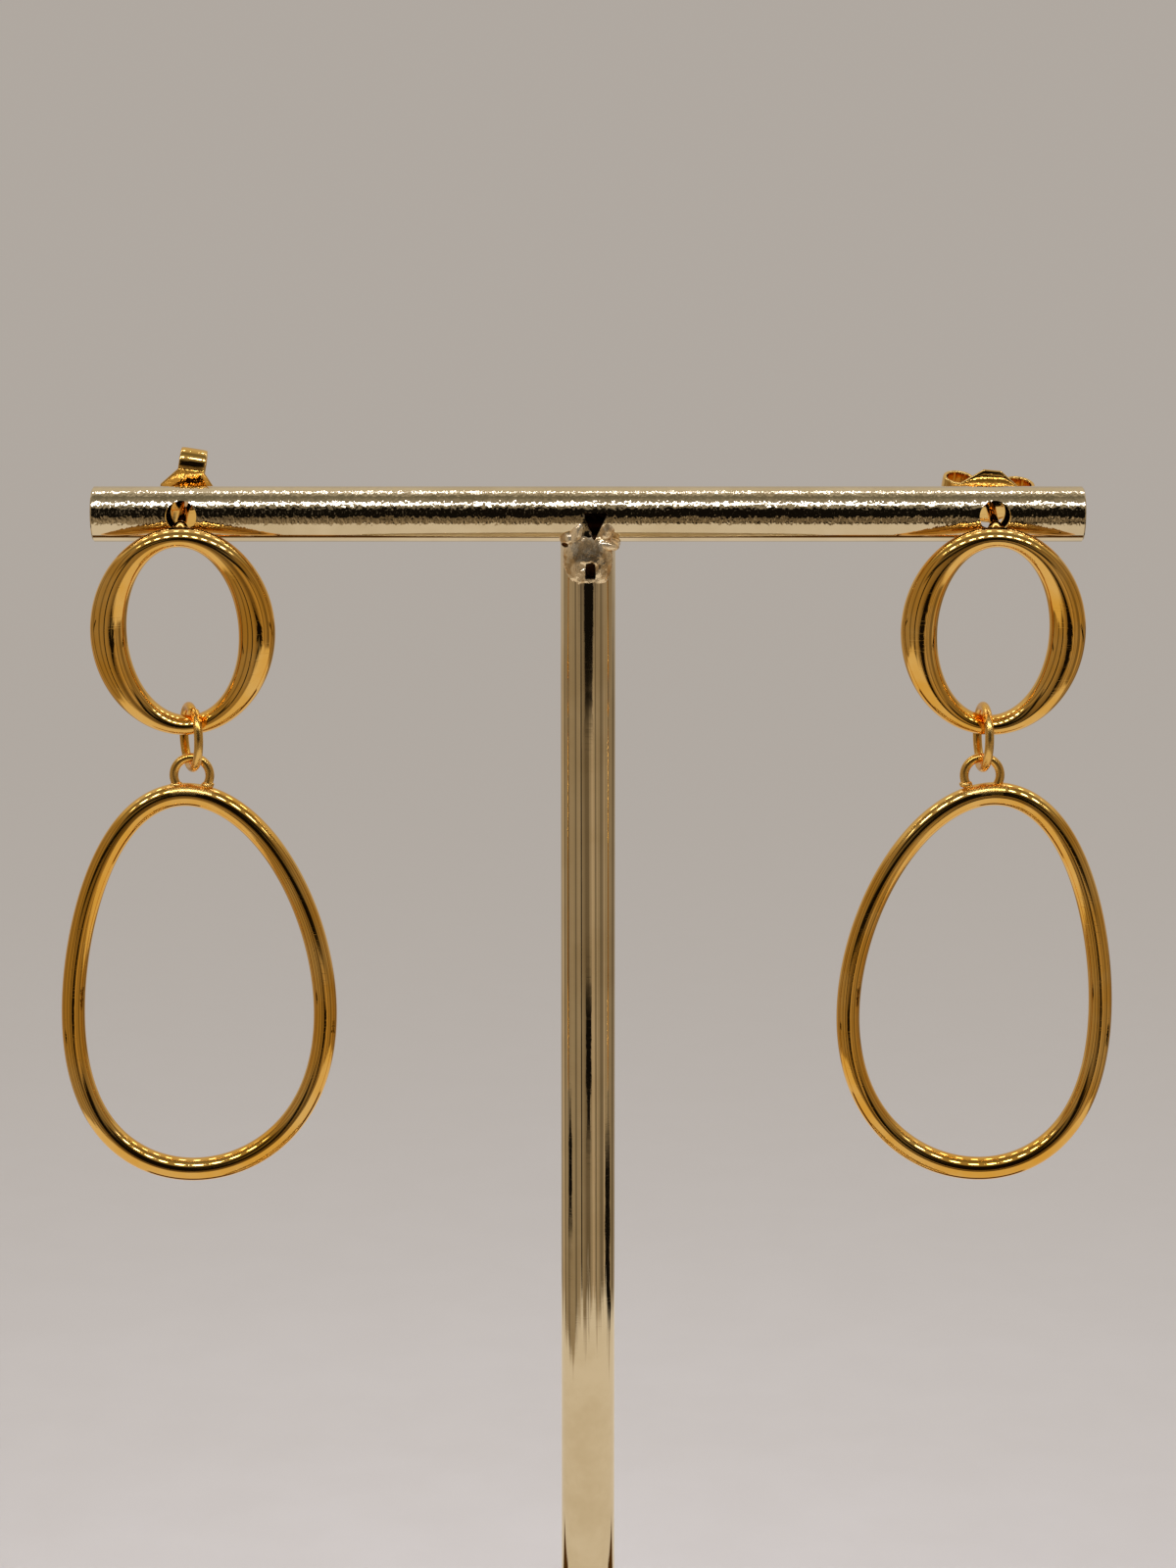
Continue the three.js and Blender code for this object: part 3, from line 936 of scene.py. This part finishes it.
@dataclass
class Earring:
    """One earring: stud ring with its post, butterfly nut, jump ring and drop ring."""

    side: Side
    gold: bpy.types.Material
    nut_gold: bpy.types.Material
    stand: Stand
    nut_turn: float
    cut_angle: float
    loop_angle: float
    swing: dict = field(init=False)
    sway: dict = field(init=False)

    stud_outer: tuple = (16.7, 19.7)
    stud_hole: tuple = (10.1, 16.2)
    stud_depth: float = 2.4
    stud_outline_turn: float = 4.0
    stud_lean: float = 12.0
    stud_offset: float = 0.12
    post_tilt: float = 20.0
    rest_gap: float = 0.15
    post_diameter: float = 0.9
    post_length: float = 10.0
    tip_round: float = 0.25
    notch_from_tip: float = 2.3
    notch_length: float = 0.7
    notch_depth: float = 0.12
    nut_gap: float = 0.7
    nut_sheet: float = 0.4
    nut_reach: float = 2.75
    nut_curl_radius: float = 1.1
    nut_curl_angle: float = 290.0
    nut_pad_half: float = 2.6
    nut_ear_half: float = 1.2
    nut_flat: float = 0.8
    link_diameter: float = 6.45
    link_wire: float = 0.82
    link_cut: float = 0.14
    link_offset: float = 0.2
    threaded_gap: float = 0.1
    drop_half: tuple = (11.7, 17.75)
    drop_taper: float = 0.15
    drop_square: float = -0.016
    drop_bow: float = 0.9
    drop_wire: tuple = (2.15, 2.05)
    loop_diameter: float = 4.1
    loop_wire: float = 0.82
    loop_seat: float = 0.75
    bead_half: tuple = (0.62, 0.52, 0.34)
    bead_spread: float = 0.86
    bead_sink: float = 0.1

    def __post_init__(self) -> None:
        """Finds the earring's two joints in the frame."""
        joints = {joint["name"]: joint for joint in frame["joints"]}
        self.swing = joints[f"{self.side.label}_link_swing"]
        self.sway = joints[f"{self.side.label}_drop_sway"]

    def build(self) -> None:
        """Makes the four pieces."""
        self.build_stud_ring()
        self.build_nut()
        self.build_jump_ring()
        self.build_drop_ring()

    def angles(self, steps: int) -> tuple[Array, Array]:
        """Angle round a ring, and the same angle mirrored for the left side."""
        angle = np.linspace(0, 2 * np.pi, steps, endpoint=False)
        return angle, (angle if self.side is Side.RIGHT else np.pi - angle)

    def outline(self, size: tuple, turn: float, steps: int) -> Array:
        """Ellipse in the XZ plane, turned and then mirrored for the left side."""
        _, along = self.angles(steps)
        x = np.cos(along) * size[0] / 2
        z = np.sin(along) * size[1] / 2
        c, s = math.cos(math.radians(turn)), math.sin(math.radians(turn))
        return np.stack([self.side.value * (x * c - z * s), 0 * x, x * s + z * c], -1)

    def build_stud_ring(self) -> None:
        """Oval band, its section an ellipse between the hole's outline and the outer one."""
        steps, sides = 288, 56
        inner = self.outline(self.stud_hole, 0.0, steps)[:, None]
        outer = self.outline(self.stud_outer, self.stud_outline_turn, steps)[:, None]
        across = np.linspace(0, 2 * np.pi, sides, endpoint=False)[None, :, None]
        share = (1 + np.cos(across)) / 2
        band = inner + (outer - inner) * share
        band = band - np.sin(across) * self.stud_depth / 2 * np.array([0, 1, 0])
        plane = self.stud_plane
        drop = self.stud_outer[1] / 2 - self.post_diameter / 2
        band = band + (self.side.value * self.stud_offset, 0, -drop)
        band = band @ turn_x(self.stud_lean - self.post_tilt).T + (0, plane, 0)
        ring = solid_from_grid(f"{self.side.label}_ring_and_post", self.seat_stud(band), True)
        post = turned(self.post_profile(), (0, plane, 0), (0, 1, 0), 40)
        change(ring, solid_from_grid("post", self.seat_stud(post)), Operation.JOIN)
        finish_piece(ring, self.gold, 50)
        place(ring, f"{self.side.label}_stud_ring", "stand")

    @property
    def stud_plane(self) -> float:
        """Distance of the stud ring's middle plane in front of the bar's axis, along the post."""
        return -(self.stand.tube_radius + self.rest_gap + self.stud_depth / 2)

    def seat_stud(self, points: Array) -> Array:
        """Carries points from the stud's frame, with the post along Y, to the row's frame."""
        hole = (self.side.value * self.stand.hole_spacing / 2, 0, self.stand.axis_height)
        return points @ turn_x(self.post_tilt).T + hole

    def post_profile(self) -> list[tuple[float, float]]:
        """Profile of the post: solder cone, shaft, friction notch and rounded tip.

        Returns:
            Pairs of place along the post and radius.
        """
        radius = self.post_diameter / 2
        back = self.stud_depth / 2
        tip = back + self.post_length
        bend = self.tip_round
        round_off = [
            (tip - bend + bend * math.sin(a), radius - bend + bend * math.cos(a))
            for a in np.linspace(0, np.pi / 2, 7)
        ]
        cone = [(back - 0.35, 0.7), (back - 0.05, 0.62), (back + 0.15, 0.52), (back + 0.5, radius)]
        notch = tip - self.notch_from_tip
        deep = radius - self.notch_depth
        groove = [
            (notch, radius), (notch + self.notch_depth, deep),
            (notch + (self.notch_length - self.notch_depth), deep), (notch + self.notch_length, radius),
        ]
        return [(0.3, 0), (0.3, 0.5), *cone, *groove, *round_off, (tip, 0)]

    def build_nut(self) -> None:
        """Butterfly nut: one strip, wide in the middle, whose ends curl back to the post.

        The strip's section is a squared ellipse, a little thicker along its rims, and its middle is
        dished.
        """
        label = self.side.label
        sheet, reach = self.nut_sheet, self.nut_reach
        rim_height, rim_width, pad_dish = 0.09, 0.12, 0.35
        middle = self.nut_curl_radius + sheet / 2
        arc = np.radians(np.linspace(-90, self.nut_curl_angle - 90, 90))
        curl_line = np.stack([reach + middle * np.cos(arc), middle + middle * np.sin(arc)], -1)
        flat_line = np.stack([np.linspace(0, reach, 60, endpoint=False), np.zeros(60)], -1)
        half_line = np.concatenate([flat_line, curl_line])
        mirrored = half_line[:0:-1] * (-1, 1)
        line = np.concatenate([mirrored, half_line])
        path = np.stack([0 * line[:, 0], line[:, 0], line[:, 1] + sheet / 2], -1)
        taper = np.clip((np.abs(line[:, 0]) - self.nut_flat) / (reach - self.nut_flat), 0, 1)
        on_pad = np.abs(np.arange(len(line)) - len(line) // 2) < 60
        narrowing = self.nut_pad_half + (self.nut_ear_half - self.nut_pad_half) * taper
        half_width = np.where(on_pad, narrowing, self.nut_ear_half)
        ends = np.minimum(np.arange(len(line)), np.arange(len(line))[::-1])
        close = np.clip(ends / 4, 0, 1)
        close = np.sqrt(1 - (1 - close) ** 2)
        direction = unit(np.gradient(path, axis=0))
        upwards = np.cross(np.array([1.0, 0, 0]), direction)
        angle = np.linspace(0, 2 * np.pi, 72, endpoint=False)
        wide = np.sign(np.cos(angle)) * np.abs(np.cos(angle)) ** 0.35
        thick = np.sign(np.sin(angle)) * np.abs(np.sin(angle)) ** 0.55
        rim = rim_height * np.exp(-((1 - np.abs(wide)) / rim_width) ** 2)
        dish = pad_dish * (np.abs(wide) ** 2) * np.where(on_pad, 1 - taper, 0)[:, None]
        across = (half_width * (0.6 + 0.4 * close))[:, None] * wide
        lift = (close[:, None] * thick * sheet / 2 * (1 + rim)) + dish
        points = path[:, None] + across[..., None] * np.array([1.0, 0, 0])
        points = points + lift[..., None] * upwards[:, None]
        nut = solid_from_grid(f"{label}_butterfly_nut", self.seat_nut(points))
        hole = rod((0, 0, -2), (0, 0, 6), self.post_diameter / 2 + self.threaded_gap, 40)
        change(nut, solid_from_grid("nut_hole", self.seat_nut(hole)), Operation.CUT)
        finish_piece(nut, self.nut_gold, 45)
        place(nut, f"{label}_ear_nut", "stand")

    def seat_nut(self, points: Array) -> Array:
        """Carries points from the nut's frame, with the post along Z, to the row's frame."""
        stand_off = self.stand.tube_radius + self.nut_gap
        turned_points = points @ turn_z(self.nut_turn).T @ turn_x(-90).T
        return self.seat_stud(turned_points + (0, stand_off, 0))

    def build_jump_ring(self) -> None:
        """Round link, cut once: its middle line drifts along its axis, so the ends miss each other."""
        label = self.side.label
        radius = (self.link_diameter - self.link_wire) / 2
        pivot = np.array(self.sway["pos_m"]) / METRES
        axis = np.array(self.swing["axis"], float)
        half_cut = self.link_cut / radius / 2
        share = np.linspace(0, 1, 200)
        angle = math.radians(self.cut_angle) + half_cut + share * (2 * np.pi - 2 * half_cut)
        front = np.cross(axis, (0, 0, 1))
        path = radius * (np.cos(angle)[:, None] * front + np.sin(angle)[:, None] * np.array([0, 0, 1.0]))
        path += self.link_offset * (share - 0.5)[:, None] * axis
        tube = swept(path, self.link_wire / 2, axis, 28)
        dome, shoulder = 0.04, 0.82
        caps = []
        for row, inwards in ((0, 1), (-1, -1)):
            centre = path[row]
            step = unit(path[row] - path[row + inwards])
            caps.append(np.stack([
                tube[row] * 0 + centre + step * dome,
                centre + (tube[row] - centre) * shoulder + step * dome,
            ]))
        points = np.concatenate([caps[0], tube, caps[1][::-1]])
        link = solid_from_grid(f"{label}_link", points + (pivot + (0, 0, radius)))
        mark_faces(link, "wire", np.ones(len(link.data.polygons)))
        finish_piece(link, self.gold, 45)
        place(link, f"{label}_jump_ring", f"{label}_link")

    def egg(self, steps: int) -> Array:
        """Middle line of the drop ring: an ellipse that narrows upwards and bows outwards at its ends.

        With t the angle, x is a(cos t (1 - taper sin t) + square cos 3t) + bow (sin^2 t - 1/2) and
        z is b sin t.
        """
        _, along = self.angles(steps)
        rise = np.sin(along)
        spread = np.cos(along) * (1 - self.drop_taper * rise) + self.drop_square * np.cos(3 * along)
        x = self.drop_half[0] * spread + self.drop_bow * (rise ** 2 - 0.5)
        return np.stack([self.side.value * x, 0 * x, self.drop_half[1] * rise], -1)

    def build_drop_ring(self) -> None:
        """Egg-shaped wire ring with a loop soldered on its top by two beads.

        The loop hangs on the jump ring's lowest wire, at the joint, and the ring is turned about it
        so that its centre of mass is straight below.
        """
        label = self.side.label
        steps, sides = 384, 40
        path = self.egg(steps)
        ahead = unit(np.roll(path, -1, 0) - np.roll(path, 1, 0))
        outwards = np.cross(np.array([0, 1.0, 0]), ahead)
        outwards *= np.sign((outwards * path).sum(1)).mean()
        around = np.linspace(0, 2 * np.pi, sides, endpoint=False)[None, :, None]
        wide, deep = self.drop_wire
        ring = path[:, None] + np.cos(around) * wide / 2 * outwards[:, None]
        ring = ring + np.sin(around) * deep / 2 * np.array([0, 1.0, 0])
        angle = math.radians(self.loop_angle)
        top = angle if self.side is Side.RIGHT else np.pi - angle
        at = int(round(top / (2 * np.pi) * steps)) % steps
        seat = path[at] + outwards[at] * (wide / 2 + self.loop_seat)
        loop_radius = (self.loop_diameter - self.loop_wire) / 2
        turn = np.linspace(0, 2 * np.pi, 97)[:-1]
        circle = np.stack([np.cos(turn), 0 * turn, np.sin(turn)], -1)
        tube = np.linspace(0, 2 * np.pi, 24, endpoint=False)[None, :, None]
        loop = seat + circle[:, None] * (loop_radius + np.cos(tube) * self.loop_wire / 2)
        loop = loop + np.sin(tube) * self.loop_wire / 2 * np.array([0, 1.0, 0])
        hang = seat + (0, 0, loop_radius - self.loop_wire / 2 - self.threaded_gap - self.link_wire / 2)
        drop = solid_from_grid(f"{label}_drop", ring - hang, True)
        change(drop, solid_from_grid("loop", loop - hang, True), Operation.JOIN)
        balance = centre_of_mass(drop.data)
        for number, foot in enumerate((-1, 1)):
            centre = seat - hang + (foot * loop_radius * self.bead_spread, 0, -loop_radius * 0.5)
            bead = ellipsoid((0, 0, 0), self.bead_half, 24, 36)
            bead *= 1 + ripple(bead, 0.9, 0.06, 11 * number + 3)[..., None]
            change(drop, solid_from_grid("bead", bead + centre - (0, 0, self.bead_sink)), Operation.JOIN)
        centres = read(drop.data.polygons, "center", 3)
        distance = np.linalg.norm((centres - seat + hang) * (1, 0, 1), axis=1)
        high = centres[:, 2] > (seat - hang)[2] - loop_radius
        mark_faces(drop, "wire", (distance < loop_radius + self.loop_wire) & high)
        plumb = Matrix.Rotation(-math.atan2(-balance[0], -balance[2]), 4, "Y")
        pivot = np.array(self.sway["pos_m"]) / METRES
        drop.data.transform(Matrix.Translation(pivot) @ plumb)
        finish_piece(drop, self.gold, 50)
        place(drop, f"{label}_drop_ring", f"{label}_drop")


# The studio

# Surroundings: colours of the backdrop, the floor, the light on dull surfaces and the paper, the
# distance over which the floor fades, and the room's colours by its roll in degrees
BACKDROP = (0.434, 0.393, 0.353)
FLOOR_FADE = 0.15
FLOOR_CARD = [(0.665, 0.617, 0.577, 1.0), (0.685, 0.637, 0.597, 1.0)]
SOFT_ROOM = ((1.0, 0.97, 0.94, 1.0), 0.6)
PAPER = (0.68, 0.63, 0.57)
ROOM = [
    (-180, (0.46, 0.42, 0.38)),
    (-140, (0.58, 0.53, 0.47)),
    (-100, (0.60, 0.55, 0.49)),
    (-50, (0.50, 0.44, 0.37)),
    (-25, (0.34, 0.27, 0.20)),
    (-10, (0.22, 0.175, 0.13)),
    (-5, (0.008, 0.007, 0.006)),
    (3, (0.008, 0.007, 0.006)),
    (6, (0.13, 0.115, 0.095)),
    (14, (0.15, 0.13, 0.11)),
    (17, (0.012, 0.010, 0.008)),
    (27, (0.012, 0.010, 0.008)),
    (31, (0.16, 0.145, 0.12)),
    (40, (0.36, 0.33, 0.28)),
    (58, (0.34, 0.31, 0.27)),
    (66, (0.27, 0.25, 0.21)),
    (78, (0.16, 0.15, 0.12)),
    (86, (0.20, 0.185, 0.15)),
    (96, (0.45, 0.42, 0.37)),
    (118, (0.60, 0.56, 0.50)),
    (135, (0.60, 0.56, 0.48)),
    (150, (0.50, 0.46, 0.41)),
    (180, (0.46, 0.42, 0.38)),
]
# Lower room: where it ends in front, where it stands beside the metal, and the stripes' width and leans
LOW_ROOM = (-9.0, -5.0)
BESIDE = (35.0, 115.0, 15.0)
BESIDE_TOP = (20.0, 32.0)
BEHIND = (140.0, 165.0)
STRIPE_WIDTH = 40.0
STRIPE_LEAN = 0.02
UPRIGHT_LEAN = 0.25
# The stripes by the value of their noise, the dark colour, thin dark uprights (azimuth, half width,
# share) and dark patches in front (azimuth, half width, lowest and highest elevation)
STRIPES = [
    (0.34, (0.15, 0.115, 0.075)),
    (0.42, (0.25, 0.20, 0.14)),
    (0.50, (0.34, 0.275, 0.195)),
    (0.58, (0.29, 0.235, 0.165)),
    (0.66, (0.48, 0.39, 0.29)),
]
DARK = (0.006, 0.005, 0.004, 1.0)
UPRIGHTS = [
    (-118, 6.0, 0.4), (-92, 3.0, 0.6), (-56, 5.0, 0.5), (-31, 3.5, 0.95),
    (30, 3.0, 0.5), (58, 13.0, 0.45), (92, 3.0, 0.6), (126, 7.0, 0.7),
]
PATCHES = [
    (3, 22, -9.4, 26), (3, 13, -16.3, -13.8), (14, 15, -34.5, -29),
    (94, 18, -19.5, -16.3), (-82, 12, -17.8, -15.8),
]
# The paper's half width, height, uneven edge and its unevenness, and the brown band on it, a painted shadow
# of the stand: how far behind the bar, half width, half length and soft end, in metres, and colour
PAPER_HALF = 0.30
PAPER_HEIGHT = 0.0004
PAPER_EDGE = (0.08, 0.105)
PAPER_RAGGED = 0.16
SHADOW_BEHIND = 0.027
SHADOW_HALF_WIDTH = 0.021
SHADOW_HALF_LENGTH = 0.07
SHADOW_END = 0.004
SHADOW_COLOUR = (0.08, 0.035, 0.008, 1.0)
# Rows of small lamps: roll, half width, half height, pitch and sideways reach in degrees, and strength
LAMP_COLOUR = (0.9, 1.0, 1.3, 1.0)
LAMP_ROWS = [(49, 3.0, 5.0, 9.4, 40, 13.0), (108, 2.6, 4.0, 9.4, 40, 6.0)]
# Soft lamps above: name, place and size in metres, and power
SOFT_LAMPS = [("key", (-0.25, -0.35, 0.75), 0.5, 1.75), ("fill", (0.45, 0.25, 0.7), 0.6, 0.9)]
SOFT_LAMP_COLOUR = (1.0, 0.965, 0.94)


@dataclass
class Studio:
    """Camera, floor, lights and the surroundings that the metal mirrors."""

    photo_height: float = 1600.0
    focal_pixels: float = 3550.0
    sensor: float = 36.0
    camera_distance: float = 0.3132
    camera_rise: float = 0.0305
    camera_pitch: float = 10.0
    floor_radius: float = 1.6

    def build(self, bar_height: float) -> None:
        """Makes everything that isn't part of the object."""
        self.build_camera(bar_height)
        self.build_floor()
        self.build_paper()
        self.build_world()
        self.build_lights(bar_height)
        settings = bpy.context.scene.view_settings
        settings.view_transform = "Standard"
        settings.look = "None"

    def build_camera(self, bar_height: float) -> None:
        """Long lens a little above the bar, looking down, with the photograph's framing."""
        data = bpy.data.cameras.new("camera")
        data.sensor_width = self.sensor
        data.lens = self.focal_pixels / self.photo_height * self.sensor
        data.clip_start = 0.01
        camera = add_object("camera", data)
        camera.location = (0, -self.camera_distance, bar_height * METRES + self.camera_rise)
        camera.rotation_euler = (math.radians(90 - self.camera_pitch), 0, 0)
        bpy.context.scene.camera = camera

    def build_floor(self) -> None:
        """Pale round floor that fades into the backdrop's colour with distance."""
        rings = np.concatenate([[0.0], np.geomspace(0.03, self.floor_radius, 24)])
        angle = np.linspace(0, 2 * np.pi, 96, endpoint=False)
        x = rings[:, None] * np.cos(angle)
        y = rings[:, None] * np.sin(angle)
        points = np.stack([x, y, 0 * x], -1)
        mesh = bpy.data.meshes.new("floor")
        faces = grid_faces(len(rings), len(angle), False, True)
        mesh.from_pydata(points.reshape(-1, 3).tolist(), [], faces[:, ::-1].tolist())
        floor = add_object("floor", mesh)
        material, graph, shader = new_material("floor_card")
        place_on_floor = graph.node("ShaderNodeTexCoord").outputs["Object"]
        length = graph.node("ShaderNodeVectorMath", {0: place_on_floor}, operation="LENGTH").outputs["Value"]
        far = graph.math("EXPONENT", graph.math("DIVIDE", length, -FLOOR_FADE))
        far = graph.math("SUBTRACT", 1.0, far)
        grain = graph.noise(place_on_floor, 90.0, 3.0)
        card = graph.mix(graph.span(grain, 0.3, 0.7), *FLOOR_CARD)
        graph.feed(shader.inputs["Base Color"], card)
        graph.feed(shader.inputs["Roughness"], 0.9)
        graph.feed(shader.inputs["Specular IOR Level"], 0.1)
        glow = graph.node("ShaderNodeEmission", {"Color": (*BACKDROP, 1.0), "Strength": 1.0})
        output = material.node_tree.nodes["Material Output"]
        graph.feed(output.inputs["Surface"], graph.blend(far, shader.outputs[0], glow.outputs[0]))
        mesh.materials.append(material)
        floor.visible_glossy = False

    def build_world(self) -> None:
        """Backdrop for the camera, and for the metal a dark room with rows of small lamps.

        The room is drawn by two angles: the roll about the bar's direction, which is 0 at the front
        horizon, 90 overhead and 180 behind, and the azimuth from the front.
        """
        world = bpy.data.worlds.new("studio")
        bpy.context.scene.world = world
        world.use_nodes = True
        graph = Graph(world.node_tree)
        direction = graph.node("ShaderNodeTexCoord").outputs["Generated"]
        parts = graph.node("ShaderNodeSeparateXYZ", {0: direction}).outputs
        ahead = graph.math("MULTIPLY", parts["Y"], -1.0)
        degrees = 180 / math.pi
        roll = graph.math("MULTIPLY", graph.math("ARCTAN2", parts["Z"], ahead), degrees)
        azimuth = graph.math("MULTIPLY", graph.math("ARCTAN2", parts["X"], ahead), degrees)
        aside = graph.math("MULTIPLY", graph.math("ARCSINE", parts["X"]), degrees)
        elevation = graph.math("MULTIPLY", graph.math("ARCSINE", parts["Z"]), degrees)
        share = graph.math("MULTIPLY_ADD", roll, 1 / 360, 0.5)
        room = graph.ramp(share, [((level + 180) / 360, colour) for level, colour in ROOM])
        room = self.clutter(graph, room, azimuth, elevation)
        bright = graph.background(LAMP_COLOUR, self.lamps(graph, roll, aside))
        mirrored = graph.node("ShaderNodeAddShader", {0: graph.background(room), 1: bright}).outputs[0]
        path = graph.node("ShaderNodeLightPath").outputs
        chosen = graph.blend(path["Is Diffuse Ray"], mirrored, graph.background(*SOFT_ROOM))
        shown = graph.blend(path["Is Camera Ray"], chosen, graph.background((*BACKDROP, 1.0)))
        graph.feed(world.node_tree.nodes["World Output"].inputs["Surface"], shown)

    def clutter(self, graph: Graph, room: Socket, azimuth: Socket, elevation: Socket) -> Socket:
        """Adds the lower room: brown stripes, thin dark uprights, and dark patches in front.

        The stripes are noise along the azimuth that leans slowly with the elevation, and each thin
        upright is dark where the azimuth is close to its own. Beside the metal the stripes also
        rise past the horizon. A patch is a box in azimuth and elevation with uneven sides.

        Args:
            graph: graph of the world.
            room: colour of the room so far.
            azimuth: angle from the front, in degrees.
            elevation: angle above the horizon, in degrees.

        Returns:
            Colour of the whole room.
        """
        along = graph.math("DIVIDE", azimuth, STRIPE_WIDTH)
        along = graph.math("MULTIPLY_ADD", elevation, STRIPE_LEAN, along)
        stripes = graph.ramp(graph.line_noise(along, 1.3, 0.6), STRIPES)
        leaning = graph.math("MULTIPLY_ADD", elevation, UPRIGHT_LEAN, azimuth)
        for place_at, half_width, share in UPRIGHTS:
            off = graph.math("ABSOLUTE", graph.math("SUBTRACT", leaning, place_at))
            stripes = graph.mix(graph.span(off, half_width * 0.5, half_width, share, 0.0), stripes, DARK)
        sideways = graph.math("ABSOLUTE", azimuth)
        stripes = graph.mix(graph.span(sideways, *BEHIND), stripes, (*BACKDROP, 1.0))
        beside = graph.between(sideways, *BESIDE)
        beside = graph.math("MULTIPLY", beside, graph.span(elevation, *BESIDE_TOP, 1.0, 0.0))
        low = graph.span(elevation, *LOW_ROOM, 1.0, 0.0)
        room = graph.mix(graph.math("MAXIMUM", low, beside), room, stripes)
        ragged = graph.line_noise(elevation, 3.0)
        for middle, half_width, bottom, top in PATCHES:
            off = graph.math("ABSOLUTE", graph.math("SUBTRACT", azimuth, middle))
            half = graph.math("MULTIPLY_ADD", ragged, 2.0 * half_width, -0.1 * half_width)
            patch = graph.span(graph.math("SUBTRACT", half, off), 0.0, 1.5)
            patch = graph.math("MULTIPLY", patch, graph.between(elevation, bottom, top, 1.0))
            room = graph.mix(patch, room, DARK)
        return room

    def lamps(self, graph: Graph, roll: Socket, aside: Socket) -> Socket:
        """Strength of the rows of small lamps.

        A lamp is a dot round each point where the sideways angle is a whole number of pitches and
        the roll is the row's level.

        Args:
            graph: graph of the world.
            roll: angle about the bar's direction, in degrees.
            aside: angle from the plane between left and right, in degrees.

        Returns:
            Strength of the light.
        """
        total = None
        for level, width, height, pitch, reach, strength in LAMP_ROWS:
            along = graph.math("PINGPONG", graph.math("ADD", aside, 90 * pitch), pitch / 2)
            along = graph.math("DIVIDE", along, width)
            up = graph.math("DIVIDE", graph.math("SUBTRACT", roll, level), height)
            far = graph.math("ADD", graph.math("MULTIPLY", along, along), graph.math("MULTIPLY", up, up))
            dot = graph.span(far, 0.5, 1.0, strength, 0.0)
            inwards = graph.span(graph.math("ABSOLUTE", aside), reach, reach + pitch, 1.0, 0.0)
            dot = graph.math("MULTIPLY", dot, inwards)
            total = dot if total is None else graph.math("ADD", total, dot)
        return total

    def build_paper(self) -> None:
        """White paper round the stand, seen only by the metal, with an uneven edge and a brown band of
        painted shadow.
        """
        half, height = PAPER_HALF, PAPER_HEIGHT
        mesh = bpy.data.meshes.new("paper")
        corners = [(-half, -half, height), (half, -half, height), (half, half, height), (-half, half, height)]
        mesh.from_pydata(corners, [], [(0, 1, 2, 3)])
        paper = add_object("paper", mesh)
        material = bpy.data.materials.new("paper")
        material.use_nodes = True
        graph = Graph(material.node_tree)
        place_on_paper = graph.node("ShaderNodeTexCoord").outputs["Object"]
        parts = graph.node("ShaderNodeSeparateXYZ", {0: place_on_paper}).outputs
        uneven = graph.noise(place_on_paper, 9.0, 3.0, 0.6)
        narrowed = graph.stretched(place_on_paper, (1.2, 1.0, 1.0))
        length = graph.node("ShaderNodeVectorMath", {0: narrowed}, operation="LENGTH").outputs["Value"]
        edge = graph.math("MULTIPLY_ADD", uneven, -PAPER_RAGGED, length)
        cover = graph.span(edge, *PAPER_EDGE, 1.0, 0.0)
        # Painted shadow of the stand: a brown band on the paper behind the bar
        across = graph.math("ABSOLUTE", graph.math("SUBTRACT", parts["Y"], SHADOW_BEHIND))
        along = graph.math("ABSOLUTE", parts["X"])
        in_shadow = graph.span(across, SHADOW_HALF_WIDTH * 0.8, SHADOW_HALF_WIDTH, 1.0, 0.0)
        ends = graph.span(along, SHADOW_HALF_LENGTH - SHADOW_END, SHADOW_HALF_LENGTH, 1.0, 0.0)
        tint = graph.mix(graph.math("MULTIPLY", in_shadow, ends), (*PAPER, 1.0), SHADOW_COLOUR)
        glow = graph.node("ShaderNodeEmission", {"Color": tint, "Strength": 1.0})
        clear = graph.node("ShaderNodeBsdfTransparent")
        output = material.node_tree.nodes["Material Output"]
        graph.feed(output.inputs["Surface"], graph.blend(cover, clear.outputs[0], glow.outputs[0]))
        mesh.materials.append(material)
        paper.visible_camera = False
        paper.visible_diffuse = False
        paper.visible_shadow = False
        paper.visible_transmission = False

    def build_lights(self, bar_height: float) -> None:
        """Two large soft lamps above, which light the floor and leave soft shadows."""
        for name, place_at, size, power in SOFT_LAMPS:
            data = bpy.data.lights.new(name, "AREA")
            data.size = size
            data.energy = power
            data.color = SOFT_LAMP_COLOUR
            lamp = add_object(name, data)
            lamp.location = place_at
            x, y, z = np.array([0, 0, bar_height * METRES / 2]) - place_at
            fall = math.acos(-z / math.sqrt(x * x + y * y + z * z))
            lamp.rotation_euler = (fall, 0, math.atan2(y, x) - math.pi / 2)
            lamp.visible_glossy = False


def main() -> None:
    """Builds the stand, the two earrings and the studio."""
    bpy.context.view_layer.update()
    wear = polish_wear_group()
    gold = MirrorGold().build(wear)
    nut_gold = MirrorGold(
        name="pressed_gold", deep=(0.87, 0.52, 0.13), pale=(0.93, 0.64, 0.24),
        roughness=(0.05, 0.12), wave=0.3, scratches=0.8,
    ).build(wear)
    plate = ChampagnePlate().build(wear)
    stand = Stand(plate)
    Studio().build(stand.axis_height)
    stand.build()
    Earring(Side.LEFT, gold, nut_gold, stand, nut_turn=10.0, cut_angle=62.0, loop_angle=92.5).build()
    Earring(Side.RIGHT, gold, nut_gold, stand, nut_turn=-84.0, cut_angle=252.0, loop_angle=97.0).build()


if __name__ == "__main__":
    main()
